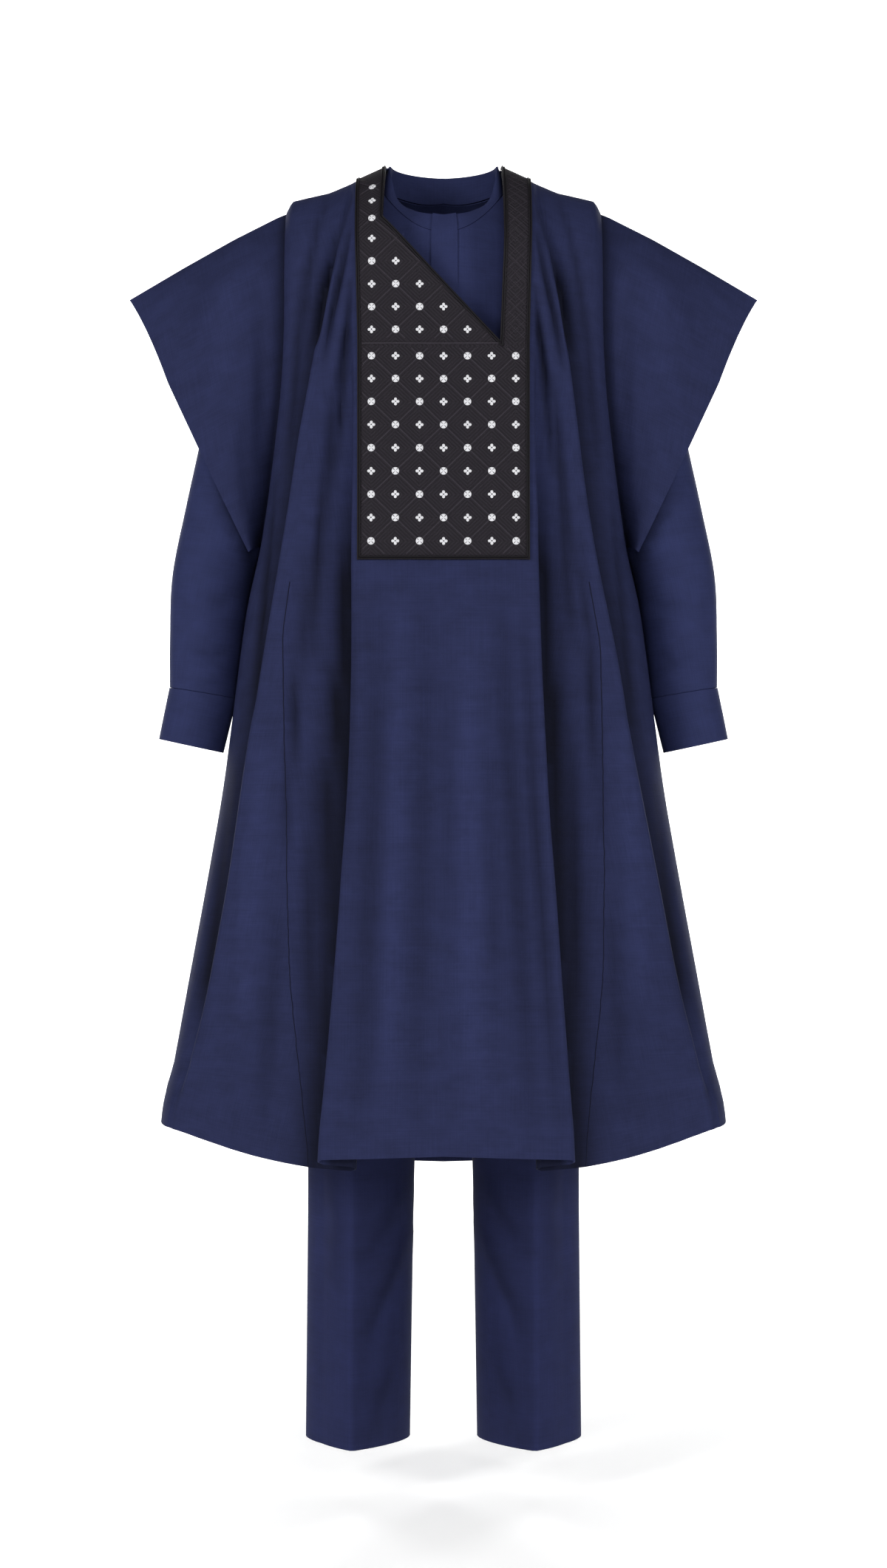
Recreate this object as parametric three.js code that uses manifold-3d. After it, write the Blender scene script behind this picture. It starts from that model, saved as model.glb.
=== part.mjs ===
// A three-piece agbada set in one matching cloth: a wide open-sleeved robe with a dark worked neck
// panel, a long-sleeved collarless shirt under it, and straight trousers with a pressed crease.
// It keeps the hollow form that it has when worn. Millimetres, +Z up, the front faces -Y,
// and z = 0 is the height at which the robe lies on the shoulders beside the neck.
import * as THREE from 'three';
import { mergeVertices } from 'three/addons/utils/BufferGeometryUtils.js';
import Module from 'manifold-3d';

const wasm = await Module();
wasm.setup();

// Cloth and seams
const ROBE_CLOTH = 1.6;
const SHIRT_CLOTH = 1.4;
const TROUSER_CLOTH = 1.5;
const BAND_CLOTH = 2.0;
const YOKE_CLOTH = 1.4;
const CORD_HEIGHT = 1.2;
const CORD_WIDTH = 4.5;
const SEAM_GAP = 0.3;

// Heights down the robe, measured from its shoulder ridge; the last row is the hem
const ROBE_DROPS = [0, 3, 11, 28, 56, 95, 145, 210, 290, 385, 415, 440, 520, 630, 760, 900, 1010];
const BACK_DROPS = [0, 3, 11, 28, 60, 120, 200, 290, 385, 415, 440, 580, 760, 940];
const RIDGE_FADE = 300;
const FRONT_SHOULDER = { height: 120, power: 2 };
const BACK_SHOULDER = { height: 120, power: 3 };

// Shoulder ridge of the robe: x out from the centre, z
const ROBE_RIDGE = [[0, 14], [64, 13], [99, -3], [130, -16], [173, -25], [180, -38]];

// Lines that run down the robe. Folds have: z, x on the left, x on the right, y of the edge,
// turn in degrees, length of each rounded turn, and how far the cloth runs back under itself.
const FRONT_CENTRE = [
  [0, -116], [-120, -120], [-200, -130], [-350, -147], [-500, -158], [-650, -169],
  [-800, -180], [-950, -190], [-1100, -198],
];
const FRONT_PANEL_FOLD = [
  [0, 97, 97, -114, 0, 1.2, 1],
  [-150, 97, 97, -122, 0, 2, 1],
  [-200, 98, 98, -128, 40, 6, 1.5],
  [-260, 99, 100, -138, 90, 10, 3],
  [-360, 101, 103, -147, 120, 12, 6],
  [-450, 102, 106, -154, 135, 13, 9],
  [-560, 103, 108, -162, 150, 14, 12],
  [-645, 105, 112, -168, 160, 15, 15],
  [-725, 108, 116, -174, 165, 15.5, 18],
  [-825, 114, 124, -179, 168, 16, 21],
  [-905, 120, 129, -184, 170, 16, 24],
  [-1000, 128, 136, -189, 172, 16, 27],
  [-1100, 137, 143, -195, 172, 16, 30],
];
const FRONT_SIDE_FOLD = [
  [0, 106, 106, -104, 0, 1.5, 1],
  [-30, 110, 109, -105, 30, 3, 1.5],
  [-60, 115, 114, -106, 80, 6, 3],
  [-93, 124, 122, -107, 110, 8, 5],
  [-124, 130, 129, -108, 130, 9, 7],
  [-165, 137, 133, -110, 140, 10, 8],
  [-230, 148, 142, -115, 145, 11, 9],
  [-317, 163, 152, -120, 148, 12, 10],
  [-380, 172, 160, -121, 150, 12.5, 11],
  [-440, 182, 170, -120, 150, 13, 12],
  [-562, 203, 196, -116, 150, 13, 13],
  [-652, 219, 210, -113, 150, 13, 13],
  [-808, 242, 242, -105, 145, 13, 13],
  [-932, 268, 269, -98, 125, 12, 9],
  [-1011, 285, 287, -91, 95, 10, 5],
  [-1100, 301, 301, -78, 30, 6, 2],
];
const FRONT_GORE_SEAM = [
  [0, 104, 104], [-60, 110, 110], [-124, 124, 123], [-230, 140, 134], [-317, 152, 143],
  [-440, 170, 160], [-517, 177, 172], [-685, 174.5, 176], [-806, 172, 177], [-907, 169.5, 176],
  [-987, 161, 167], [-1100, 148, 155],
];

const BACK_CENTRE = [
  [0, 108], [-120, 114], [-200, 122], [-350, 132], [-500, 140], [-800, 158], [-1150, 182],
];
const BACK_PANEL_FOLD = [
  [0, 70, 68, 107, 0, 3, 1],
  [-200, 74, 71, 120, 40, 6, 2],
  [-400, 80, 76, 133, 90, 9, 4],
  [-600, 88, 85, 145, 125, 12, 8],
  [-800, 98, 96, 157, 145, 14, 13],
  [-1000, 110, 109, 169, 155, 15, 19],
  [-1150, 119, 120, 179, 160, 15, 24],
];
const BACK_SIDE_FOLD = [
  [0, 112, 112, 98, 0, 3, 1],
  [-60, 118, 117, 99, 60, 5, 3],
  [-130, 128, 126, 102, 115, 8, 6],
  [-300, 150, 146, 110, 140, 11, 9],
  [-460, 176, 170, 114, 145, 12, 11],
  [-600, 198, 194, 112, 145, 12, 12],
  [-800, 230, 229, 105, 140, 12, 11],
  [-1000, 264, 266, 94, 90, 9, 5],
  [-1150, 284, 284, 82, 30, 6, 2],
];
const BACK_GORE_SEAM = [
  [0, 104, 104], [-130, 118, 117], [-300, 134, 131], [-460, 152, 148], [-600, 158, 156],
  [-800, 160, 160], [-1000, 158, 160], [-1150, 152, 155],
];

// Outer side line: z, x, depth from the middle plane. It is the armhole edge down to the
// underarm, where front and back meet, and then the side seam.
const UNDERARM_Z = -440;
const SIDE_LINE = [
  [0, 180, 58], [-165, 180, 58], [-232, 183, 56], [-288, 188, 52], [-349, 196, 42],
  [-400, 204, 26], [UNDERARM_Z, 212, 0.15], [-472, 218, 0.15], [-591, 234, 0.15],
  [-642, 242, 0.15], [-705, 255, 0.15], [-820, 276, 0.15], [-931, 297.5, 0.15],
  [-1024, 312.5, 0.15], [-1100, 319.5, 0.15],
];

// Hem heights at the stations across a half: centre, panel fold in and out, gore seam,
// side fold in and out, side line
const FRONT_HEM = [-1095, -1099, -1114, -1112, -1080, -1080, -1072];
const BACK_HEM = [-1153, -1150, -1148, -1135, -1098, -1095, -1072];
// How far the hem of a side panel bows down between its gore seam and its fold
const HEM_BOW = 5;

// Points taken across a half, from one station to the next
const FRONT_STEPS = { centre: 4, arc: 3, run: 1, toSeam: 2, seamToFold: 2, toSide: 5 };
const BACK_STEPS = { centre: 3, arc: 3, run: 1, toSeam: 1, seamToFold: 2, toSide: 4 };

// Reads a table whose first column falls: straight between its rows, held past its ends
function lookUp(table, key, column) {
  let row = 0;
  const falling = table[0][0] > table[table.length - 1][0];
  const past = (value) => (falling ? key < value : key > value);
  while (row < table.length - 2 && past(table[row + 1][0])) row += 1;
  const from = table[row];
  const to = table[row + 1];
  const t = THREE.MathUtils.clamp((key - from[0]) / (to[0] - from[0]), 0, 1);
  return from[column] + (to[column] - from[column]) * t;
}

// Reads the same table with the corners between its rows rounded
const READ_STEPS = [-28, -14, 0, 14, 28];

function smoothUp(table, key, column) {
  const values = READ_STEPS.map((step) => lookUp(table, key + step, column));
  return values.reduce((sum, value) => sum + value, 0) / values.length;
}

// How far the cloth has come forward from the shoulder ridge after a drop, from 0 to 1
function shoulderCurve(drop, shoulder) {
  const rest = 1 - Math.min(drop / shoulder.height, 1);
  return (1 - rest ** shoulder.power) ** (1 / shoulder.power);
}

// Points of a curve that leaves p with one heading and reaches q with another; p is left out
function bend(p, headingP, q, headingQ, steps, pull = 1) {
  const reach = Math.hypot(q.x - p.x, q.y - p.y) * pull;
  const points = [];
  for (let i = 1; i <= steps; i += 1) {
    const t = i / steps;
    const a = 2 * t ** 3 - 3 * t ** 2 + 1;
    const b = (t ** 3 - 2 * t ** 2 + t) * reach;
    const c = 3 * t ** 2 - 2 * t ** 3;
    const d = (t ** 3 - t ** 2) * reach;
    points.push({
      x: a * p.x + b * Math.cos(headingP) + c * q.x + d * Math.cos(headingQ),
      y: a * p.y + b * Math.sin(headingP) + c * q.y + d * Math.sin(headingQ),
    });
  }
  return points;
}

// A laid fold seen from above: the cloth turns back, runs under itself and turns out again
function foldPoints(start, heading, turn, arc, run, steps) {
  const points = [];
  let { x, y } = start;
  let angle = heading;
  const go = (length, bendBy) => {
    x += Math.cos(angle + bendBy / 2) * length;
    y += Math.sin(angle + bendBy / 2) * length;
    angle += bendBy;
    points.push({ x, y });
  };
  for (let i = 0; i < steps.arc; i += 1) go(arc / steps.arc, turn / steps.arc);
  for (let i = 0; i < steps.run; i += 1) go(run / steps.run, 0);
  for (let i = 0; i < steps.arc; i += 1) go(arc / steps.arc, -turn / steps.arc);
  return points;
}

// Half a section of the robe at one height, from the centre line to the side line.
// Depths are positive here; the caller turns them to the front or the back.
const PANEL_LEAN = -0.12;
const SIDE_LEAN = -0.2;
const FLAT_TURN = 0.05;
const LARGEST_ROUNDING = 7;
const SECTION_SAMPLES = 40;

function robeHalfSection(z, column, lines, steps) {
  const depth = Math.sign(lines.centre[0][1]);
  const read = (table, field) => smoothUp(table, z, field);
  const foldStart = (table) => {
    const turn = THREE.MathUtils.degToRad(read(table, 4));
    const arc = read(table, 5);
    const rounding = Math.min(arc / turn, LARGEST_ROUNDING) * Math.min(turn / 2, 1);
    const round = turn > FLAT_TURN ? rounding : 0;
    const x = read(table, column) - round;
    return { x, y: depth * read(table, 3), turn, arc, run: read(table, 6) };
  };
  const centre = { x: 0, y: depth * read(lines.centre, 1) };
  const panel = foldStart(lines.panelFold);
  const side = foldStart(lines.sideFold);
  const edge = { x: smoothUp(SIDE_LINE, z, 1), y: lookUp(SIDE_LINE, z, 2) };
  const points = [centre, ...bend(centre, 0, panel, PANEL_LEAN, steps.centre)];
  points.push(...foldPoints(panel, PANEL_LEAN, -panel.turn, panel.arc, panel.run, steps));
  const afterPanel = points[points.length - 1];
  const seamX = read(lines.seam, column);
  const share = THREE.MathUtils.clamp((seamX - afterPanel.x) / (side.x - afterPanel.x), 0.2, 0.85);
  const whole = bend(afterPanel, PANEL_LEAN, side, SIDE_LEAN, SECTION_SAMPLES, 0.9);
  const at = (t) => whole[Math.max(Math.round(t * SECTION_SAMPLES) - 1, 0)];
  for (let i = 1; i <= steps.toSeam; i += 1) points.push(at((share * i) / steps.toSeam));
  for (let i = 1; i <= steps.seamToFold; i += 1) {
    points.push(at(share + ((1 - share) * i) / steps.seamToFold));
  }
  points.push(...foldPoints(side, SIDE_LEAN, -side.turn, side.arc, side.run, steps));
  const afterSide = points[points.length - 1];
  points.push(...bend(afterSide, SIDE_LEAN, edge, -Math.PI / 2, steps.toSide, 1.1));
  return points;
}

// Column numbers of the stations across a half
function stations(steps) {
  const fold = 2 * steps.arc + steps.run;
  const panelIn = steps.centre;
  const panelOut = panelIn + fold;
  const seam = panelOut + steps.toSeam;
  const sideIn = seam + steps.seamToFold;
  const sideOut = sideIn + fold;
  return { centre: 0, panelIn, panelOut, seam, sideIn, sideOut, edge: sideOut + steps.toSide };
}

// Grid of outer points of half the robe: rows run down, columns run out from the centre
function robeHalfGrid(sideSign, face, lines, steps, drops, shoulder, hem) {
  const column = sideSign < 0 ? 1 : 2;
  const { seam, sideIn } = stations(steps);
  const hemTable = Object.values(stations(steps)).map((mark, k) => [mark, hem[k]]);
  const hemAt = (i) => {
    const share = THREE.MathUtils.clamp((i - seam) / (sideIn - seam), 0, 1);
    return lookUp(hemTable, i, 1) - HEM_BOW * Math.sin(Math.PI * share);
  };
  const placed = (section, drop, heightOf) => section.map((p, i) => {
    const y = face * Math.max(p.y * shoulderCurve(drop, shoulder), SEAM_GAP / 2);
    return new THREE.Vector3(sideSign * p.x, y, heightOf(p.x, i));
  });
  const grid = drops.map((drop) => placed(
    robeHalfSection(-drop, column, lines, steps),
    drop,
    (x) => lookUp(ROBE_RIDGE, x, 1) * Math.max(1 - drop / RIDGE_FADE, 0) - drop,
  ));
  const lowest = Math.min(...hem);
  grid.push(placed(robeHalfSection(lowest, column, lines, steps), -lowest, (x, i) => hemAt(i)));
  return grid;
}

// Edges this near the middle plane y = 0 face their neighbour squarely
const MIDDLE_REACH = 0.5;

// A cloth wall from quads over a list of outer points. The inner side lies one thickness in
// along the rounded normals, and every free edge gets a rim.
function clothWall(points, quads, thickness, lift = 0) {
  const normals = points.map(() => new THREE.Vector3());
  const side = new THREE.Vector3();
  const up = new THREE.Vector3();
  for (const [a, b, c, d] of quads) {
    side.subVectors(points[c], points[a]);
    up.subVectors(points[d], points[b]);
    const normal = new THREE.Vector3().crossVectors(side, up).normalize();
    for (const k of [a, b, c, d]) normals[k].add(normal);
  }
  points.forEach((p, k) => {
    if (Math.abs(p.y) < MIDDLE_REACH) normals[k].y = 0;
  });
  const used = [...new Set(quads.flat())];
  const place = new Map(used.map((k, i) => [k, i]));
  const positions = [];
  for (const offset of [lift, lift - thickness]) {
    for (const k of used) {
      const p = points[k].clone().addScaledVector(normals[k].normalize(), offset);
      positions.push(p.x, p.y, p.z);
    }
  }
  const inner = used.length;
  const index = [];
  const edges = new Map();
  for (const quad of quads) {
    const [a, b, c, d] = quad.map((k) => place.get(k));
    index.push(a, b, c, a, c, d);
    index.push(inner + a, inner + c, inner + b, inner + a, inner + d, inner + c);
    for (const [from, to] of [[a, b], [b, c], [c, d], [d, a]]) {
      if (!edges.delete(`${to} ${from}`)) edges.set(`${from} ${to}`, [from, to]);
    }
  }
  for (const [from, to] of edges.values()) {
    index.push(to, from, inner + from, to, inner + from, inner + to);
  }
  const geometry = new THREE.BufferGeometry();
  geometry.setAttribute('position', new THREE.Float32BufferAttribute(positions, 3));
  geometry.setIndex(index);
  return geometry;
}

// Joins the points of a grid into quads whose normals point out of the cloth
function gridWall(grid, thickness, { closed = false, lift = 0, flip = false, skip = () => false } = {}) {
  const columns = grid[0].length;
  const quads = [];
  for (let row = 0; row < grid.length - 1; row += 1) {
    for (let i = 0; i < (closed ? columns : columns - 1); i += 1) {
      if (skip(row, i)) continue;
      const next = (i + 1) % columns;
      const here = row * columns;
      const below = here + columns;
      const quad = [here + i, below + i, below + next, here + next];
      quads.push(flip ? quad.reverse() : quad);
    }
  }
  return clothWall(grid.flat(), quads, thickness, lift);
}

// Pulls the first column of a grid back from its seam
function easeSeam(grid, gap) {
  return grid.map(([edge, beside, ...rest]) => {
    const way = new THREE.Vector3().subVectors(beside, edge).setLength(gap);
    return [edge.clone().add(way), beside, ...rest];
  });
}

// A solid prism along Y of an outline drawn from the front as [x, z] pairs
function frontPrism(outline, nearY, farY) {
  const shape = new THREE.Shape(outline.map(([x, z]) => new THREE.Vector2(x, z)));
  const prism = new THREE.ExtrudeGeometry(shape, { depth: farY - nearY, bevelEnabled: false });
  prism.rotateX(Math.PI / 2);
  prism.translate(0, farY, 0);
  return prism;
}

function toSolid(geometry) {
  const bare = geometry.clone();
  bare.deleteAttribute('normal');
  bare.deleteAttribute('uv');
  const merged = mergeVertices(bare, 1e-4);
  return new wasm.Manifold(new wasm.Mesh({
    numProp: 3,
    vertProperties: new Float32Array(merged.attributes.position.array),
    triVerts: new Uint32Array(merged.index.array),
  }));
}

function fromSolid(solid) {
  const mesh = solid.getMesh();
  const geometry = new THREE.BufferGeometry();
  geometry.setAttribute('position', new THREE.BufferAttribute(mesh.vertProperties, 3));
  geometry.setIndex(new THREE.BufferAttribute(mesh.triVerts, 1));
  return geometry;
}

const subtract = (from, tool) => fromSolid(wasm.Manifold.difference(toSolid(from), toSolid(tool)));
const intersect = (one, other) => fromSolid(wasm.Manifold.intersection(toSolid(one), toSolid(other)));

// Robe
const frontLines = {
  centre: FRONT_CENTRE, panelFold: FRONT_PANEL_FOLD, sideFold: FRONT_SIDE_FOLD, seam: FRONT_GORE_SEAM,
};
const backLines = {
  centre: BACK_CENTRE, panelFold: BACK_PANEL_FOLD, sideFold: BACK_SIDE_FOLD, seam: BACK_GORE_SEAM,
};
const FRONT = -1;
const BACK = 1;
const frontHalf = (side) => robeHalfGrid(
  side, FRONT, frontLines, FRONT_STEPS, ROBE_DROPS, FRONT_SHOULDER, FRONT_HEM,
);
const backHalf = (side) => robeHalfGrid(
  side, BACK, backLines, BACK_STEPS, BACK_DROPS, BACK_SHOULDER, BACK_HEM,
);

// The middle panel of a face, from the left gore seam to the right one
function middlePanel(half, steps) {
  const { seam } = stations(steps);
  const left = half(-1);
  const right = half(1);
  return left.map((row, k) => [...row.slice(1, seam + 1).reverse(), ...right[k].slice(0, seam + 1)]);
}

function sidePanel(half, sideSign, steps) {
  const grid = half(sideSign).map((row) => row.slice(stations(steps).seam));
  return easeSeam(grid, SEAM_GAP);
}

// Neck opening and yoke, drawn from the front
const NECK_SIDE = 64.6;
const NECK_LEFT = [[-NECK_SIDE, 40], [-65.5, -20], [-67, -64]];
const NECK_POINT = [63, -207.5];
const NECK_RIGHT = [[67, -85], [66, -20], [NECK_SIDE, 40]];
const NECK_OUTLINE = [...NECK_LEFT, NECK_POINT, ...NECK_RIGHT];
const BACK_NECK_OUTLINE = [
  [-NECK_SIDE, 40], [-NECK_SIDE, 4], [-50, -3], [-25, -8], [0, -10], [25, -8], [50, -3],
  [NECK_SIDE, 4], [NECK_SIDE, 40],
];
const YOKE_OUTER = [
  [-98.5, 40], [-98.5, -10], [-98, -80], [-94.5, -209], [-94, -334], [-94, -448.5],
  [95, -448.5], [95, -334], [95.5, -209], [98, -80], [98.5, -10], [98.5, 40],
];
const YOKE_OUTLINE = [...YOKE_OUTER, ...[...NECK_OUTLINE].reverse()];
const BACK_BAND_DEPTH = 34;

// Moves the corners of an open line, drawn from the front, to one side by a distance
function besideLine(line, distance) {
  return line.map((p, i) => {
    const before = line[Math.max(i - 1, 0)];
    const after = line[Math.min(i + 1, line.length - 1)];
    const one = new THREE.Vector2(p[0] - before[0], p[1] - before[1]).normalize();
    const two = new THREE.Vector2(after[0] - p[0], after[1] - p[1]).normalize();
    const mean = one.clone().add(two).normalize();
    const stretch = distance / Math.max(mean.dot(i > 0 ? one : two), 0.3);
    return [p[0] - mean.y * stretch, p[1] + mean.x * stretch];
  });
}

const frontPanelGrid = middlePanel(frontHalf, FRONT_STEPS);
const backPanelGrid = middlePanel(backHalf, BACK_STEPS);
const DEEP = 260;

function robeFront() {
  return subtract(gridWall(frontPanelGrid, ROBE_CLOTH), frontPrism(NECK_OUTLINE, -DEEP, 5));
}

function robeBack() {
  const wall = gridWall(backPanelGrid, ROBE_CLOTH, { flip: true });
  return subtract(wall, frontPrism(BACK_NECK_OUTLINE, -5, DEEP));
}

// The part of the front panel that the yoke can lie on, with the first turn of each fold
function yokeGround(columnsPastFold) {
  const middle = Math.floor(frontPanelGrid[0].length / 2);
  const reach = FRONT_STEPS.centre + columnsPastFold;
  const rows = ROBE_DROPS.filter((drop) => drop <= 520).length;
  return frontPanelGrid.slice(0, rows).map((row) => row.slice(middle - reach, middle + reach + 1));
}

// A layer of cloth on the front panel: its lower side lies `gap` off the panel
function yokeLayer(gap, height) {
  return gridWall(yokeGround(1), height, { lift: gap + height });
}

function robeYoke() {
  return intersect(yokeLayer(SEAM_GAP, YOKE_CLOTH), frontPrism(YOKE_OUTLINE, -DEEP, 5));
}

const cordLift = SEAM_GAP + YOKE_CLOTH + SEAM_GAP;
const EDGE_EASE = 0.4;

function yokeOuterCord() {
  const outer = besideLine(YOKE_OUTER, EDGE_EASE);
  const inner = besideLine(YOKE_OUTER, CORD_WIDTH);
  const band = [...outer, ...inner.reverse()];
  return intersect(yokeLayer(cordLift, CORD_HEIGHT), frontPrism(band, -DEEP, 5));
}

function yokeNeckCord() {
  const outer = besideLine(NECK_OUTLINE, -EDGE_EASE);
  const inner = besideLine(NECK_OUTLINE, -CORD_WIDTH);
  const band = [...outer, ...inner.reverse()];
  return intersect(yokeLayer(cordLift, CORD_HEIGHT), frontPrism(band, -DEEP, 5));
}

function backNeckBand() {
  const middle = Math.floor(backPanelGrid[0].length / 2);
  const reach = BACK_STEPS.centre + 6;
  const rows = BACK_DROPS.filter((drop) => drop <= 130).length;
  const ground = backPanelGrid.slice(0, rows).map((row) => row.slice(middle - reach, middle + reach + 1));
  const layer = gridWall(ground, YOKE_CLOTH, { lift: SEAM_GAP + YOKE_CLOTH, flip: true });
  const lower = besideLine(BACK_NECK_OUTLINE.slice(1, -1), -BACK_BAND_DEPTH);
  const outline = [
    ...BACK_NECK_OUTLINE, [98.5, 40], [98.5, -6], ...lower.reverse(), [-98.5, -6], [-98.5, 40],
  ];
  return intersect(layer, frontPrism(outline, -5, DEEP));
}

// Wide sleeve of the robe: an arch over the shoulder line, open along its slanted edge
const SLEEVE_RIDGE_START = { x: 177, z: -42 };
const SLEEVE_TIP = { x: 359, z: -136 };
const SLEEVE_RIDGE = [[177, -42], [190, -44.5], [241, -67.7], [300, -102], [359, -136]];
const SLEEVE_FOOT = { x: 213.5, z: -437 };
const SLEEVE_ROWS = [0, 0.015, 0.06, 0.14, 0.26, 0.42, 0.6, 0.78, 0.9, 0.97];
const SLEEVE_COLUMNS = [0, 0.08, 0.22, 0.42, 0.64, 0.84, 1];
// Depth of the open edge: x, depth from the middle plane
const SLEEVE_MOUTH = [
  [213, 24], [231, 50], [250, 57], [275, 59], [300, 48], [330, 29], [350, 12], [359, 4],
];
const TIP_HALF_DEPTH = 0.9;
// How far behind the armhole's edge the sleeve is sewn, which leaves the trough beside it
const SLEEVE_SET_BACK = 4;
const SLEEVE_BELLY = 12;
const SLEEVE_SHOULDER = { height: 70, power: 2 };
const SLEEVE_FALL = SLEEVE_RIDGE_START.z - UNDERARM_Z - 9;
// The sleeve's inner edge lies this far inside the armhole's edge
const SLEEVE_SEAM = ROBE_CLOTH + 0.6;

function robeSleeve(sideSign) {
  const rowPoints = (share, face) => {
    const drop = share * SLEEVE_FALL;
    const inZ = SLEEVE_RIDGE_START.z - drop;
    const outX = THREE.MathUtils.lerp(SLEEVE_TIP.x, SLEEVE_FOOT.x, share);
    const outZ = THREE.MathUtils.lerp(SLEEVE_TIP.z, SLEEVE_FOOT.z, share);
    const inX = Math.max(smoothUp(SIDE_LINE, inZ, 1) - SLEEVE_SEAM, SLEEVE_RIDGE_START.x);
    const armhole = lookUp(SIDE_LINE, inZ, 2) * shoulderCurve(drop + 3, FRONT_SHOULDER);
    const inY = armhole - SLEEVE_SET_BACK;
    const outY = lookUp(SLEEVE_MOUTH, outX, 1);
    const rise = shoulderCurve(drop, SLEEVE_SHOULDER);
    const clear = SLEEVE_SET_BACK / (outX - inX);
    return SLEEVE_COLUMNS.map((a) => {
      const past = Math.max(a - clear, 0) / (1 - clear);
      const x = THREE.MathUtils.lerp(inX, outX, a);
      const full = THREE.MathUtils.lerp(inY, outY, past) + SLEEVE_BELLY * Math.sin(Math.PI * past);
      const straightZ = THREE.MathUtils.lerp(SLEEVE_RIDGE_START.z, SLEEVE_TIP.z, a);
      const arch = lookUp(SLEEVE_RIDGE, x, 1) - straightZ;
      const z = THREE.MathUtils.lerp(inZ, outZ, a) + arch * Math.max(1 - share * 3, 0);
      const depth = Math.max(full * rise, share > 0 ? TIP_HALF_DEPTH * 2 : 0);
      return new THREE.Vector3(sideSign * x, face * depth, z);
    });
  };
  const front = SLEEVE_ROWS.map((share) => rowPoints(share, FRONT));
  const back = SLEEVE_ROWS.slice(1).map((share) => rowPoints(share, BACK));
  return gridWall([...back.reverse(), ...front], ROBE_CLOTH, { flip: sideSign < 0 });
}

// Shirt: shoulder ridge x, z for the front and the back, and sections z, half width, depths
const SHIRT_RIDGE_FRONT = [[0, -4], [72, -14], [115, -13], [132, -19.2], [158, -25], [180, -30]];
const SHIRT_RIDGE_BACK = [[0, 2], [72, -14], [115, -13], [132, -19.2], [158, -25], [180, -30]];
const SHIRT_SECTIONS = [
  [0, 172, 90, 84], [-100, 172, 96, 92], [-150, 171, 102, 98], [-200, 170, 108, 102],
  [-300, 168, 110, 106], [-450, 172, 112, 108], [-600, 184, 120, 120], [-760, 198, 134, 138],
];
const SHIRT_SHOULDER = { height: 150, power: 2 };
const SHIRT_BACK_SHOULDER = { height: 120, power: 3 };
const SHIRT_DROPS = [0, 4, 14, 32, 60, 95, 135, 160, 192, 260, 350, 450, 600, 760];
const SHIRT_ARMHOLE = [[0, 158], [-80, 156], [-130, 157], [-170, 163], [-192, 170.3], [-200, 400]];
const SHIRT_STEPS = 7;
const NECK_HOLE = { centreY: -10, halfWidth: 70, halfDepth: 70 };
const NECK_HOLE_POINTS = 40;
const ARMHOLE_BOTTOM = 192;

function shirtPoint(share, drop, face) {
  const z = -drop;
  const halfWidth = lookUp(SHIRT_SECTIONS, z, 1);
  const depth = smoothUp(SHIRT_SECTIONS, z, face === FRONT ? 2 : 3);
  const edgeX = Math.min(lookUp(SHIRT_ARMHOLE, z, 1), halfWidth);
  const angle = Math.abs(share) * Math.asin(edgeX / halfWidth);
  const x = halfWidth * Math.sin(angle);
  const ridge = face === FRONT ? SHIRT_RIDGE_FRONT : SHIRT_RIDGE_BACK;
  const shoulder = face === FRONT ? SHIRT_SHOULDER : SHIRT_BACK_SHOULDER;
  const y = face * Math.max(depth * Math.cos(angle) * shoulderCurve(drop, shoulder), SEAM_GAP / 2);
  const height = lookUp(ridge, x, 1) * Math.max(1 - drop / RIDGE_FADE, 0) - drop;
  return new THREE.Vector3(Math.sign(share) * x, y, height);
}

function shirtGrid(face) {
  return SHIRT_DROPS.map((drop) => {
    const row = [];
    for (let i = -SHIRT_STEPS; i <= SHIRT_STEPS; i += 1) row.push(shirtPoint(i / SHIRT_STEPS, drop, face));
    return row;
  });
}

function shirtBody(face) {
  const wall = gridWall(shirtGrid(face), SHIRT_CLOTH, { flip: face === BACK });
  const { centreY, halfWidth, halfDepth } = NECK_HOLE;
  const hole = new THREE.CylinderGeometry(1, 1, 400, NECK_HOLE_POINTS);
  hole.rotateX(Math.PI / 2);
  hole.scale(halfWidth, halfDepth, 1);
  hole.translate(0, centreY, 0);
  return subtract(wall, hole);
}

// The shirt's outer side at a place across and a drop, whatever the share of its width
function shirtAcross(x, drop, face) {
  const halfWidth = lookUp(SHIRT_SECTIONS, -drop, 1);
  const edgeX = Math.min(lookUp(SHIRT_ARMHOLE, -drop, 1), halfWidth);
  const share = Math.asin(Math.abs(x) / halfWidth) / Math.asin(edgeX / halfWidth);
  return shirtPoint(Math.max(share, 1e-9), drop, face);
}

// Height of the shirt's outer side over a point of the plan near the neck, found by halving
function shirtHeight(x, y) {
  const face = y < 0 ? FRONT : BACK;
  let low = 0;
  let high = SHIRT_SHOULDER.height;
  while (high - low > 1e-6) {
    const drop = (low + high) / 2;
    if (Math.abs(shirtAcross(x, drop, face).y) < Math.abs(y)) low = drop;
    else high = drop;
  }
  return shirtAcross(x, low, face).z;
}

// Collar band: its top edge by angle from the front, and its seam on the shirt's neck hole
const COLLAR_TOP = [[0, -53], [25, -49], [47, -33], [65, -13], [80, 3], [95, 10], [120, 14], [180, 17]];
const COLLAR_TOP_RING = { centreY: -4, halfWidth: 62.4, halfDepth: 58 };
const COLLAR_LIFT = 3 * SEAM_GAP;
const COLLAR_SWELL = 1.2;
const COLLAR_POINTS = 28;

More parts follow.
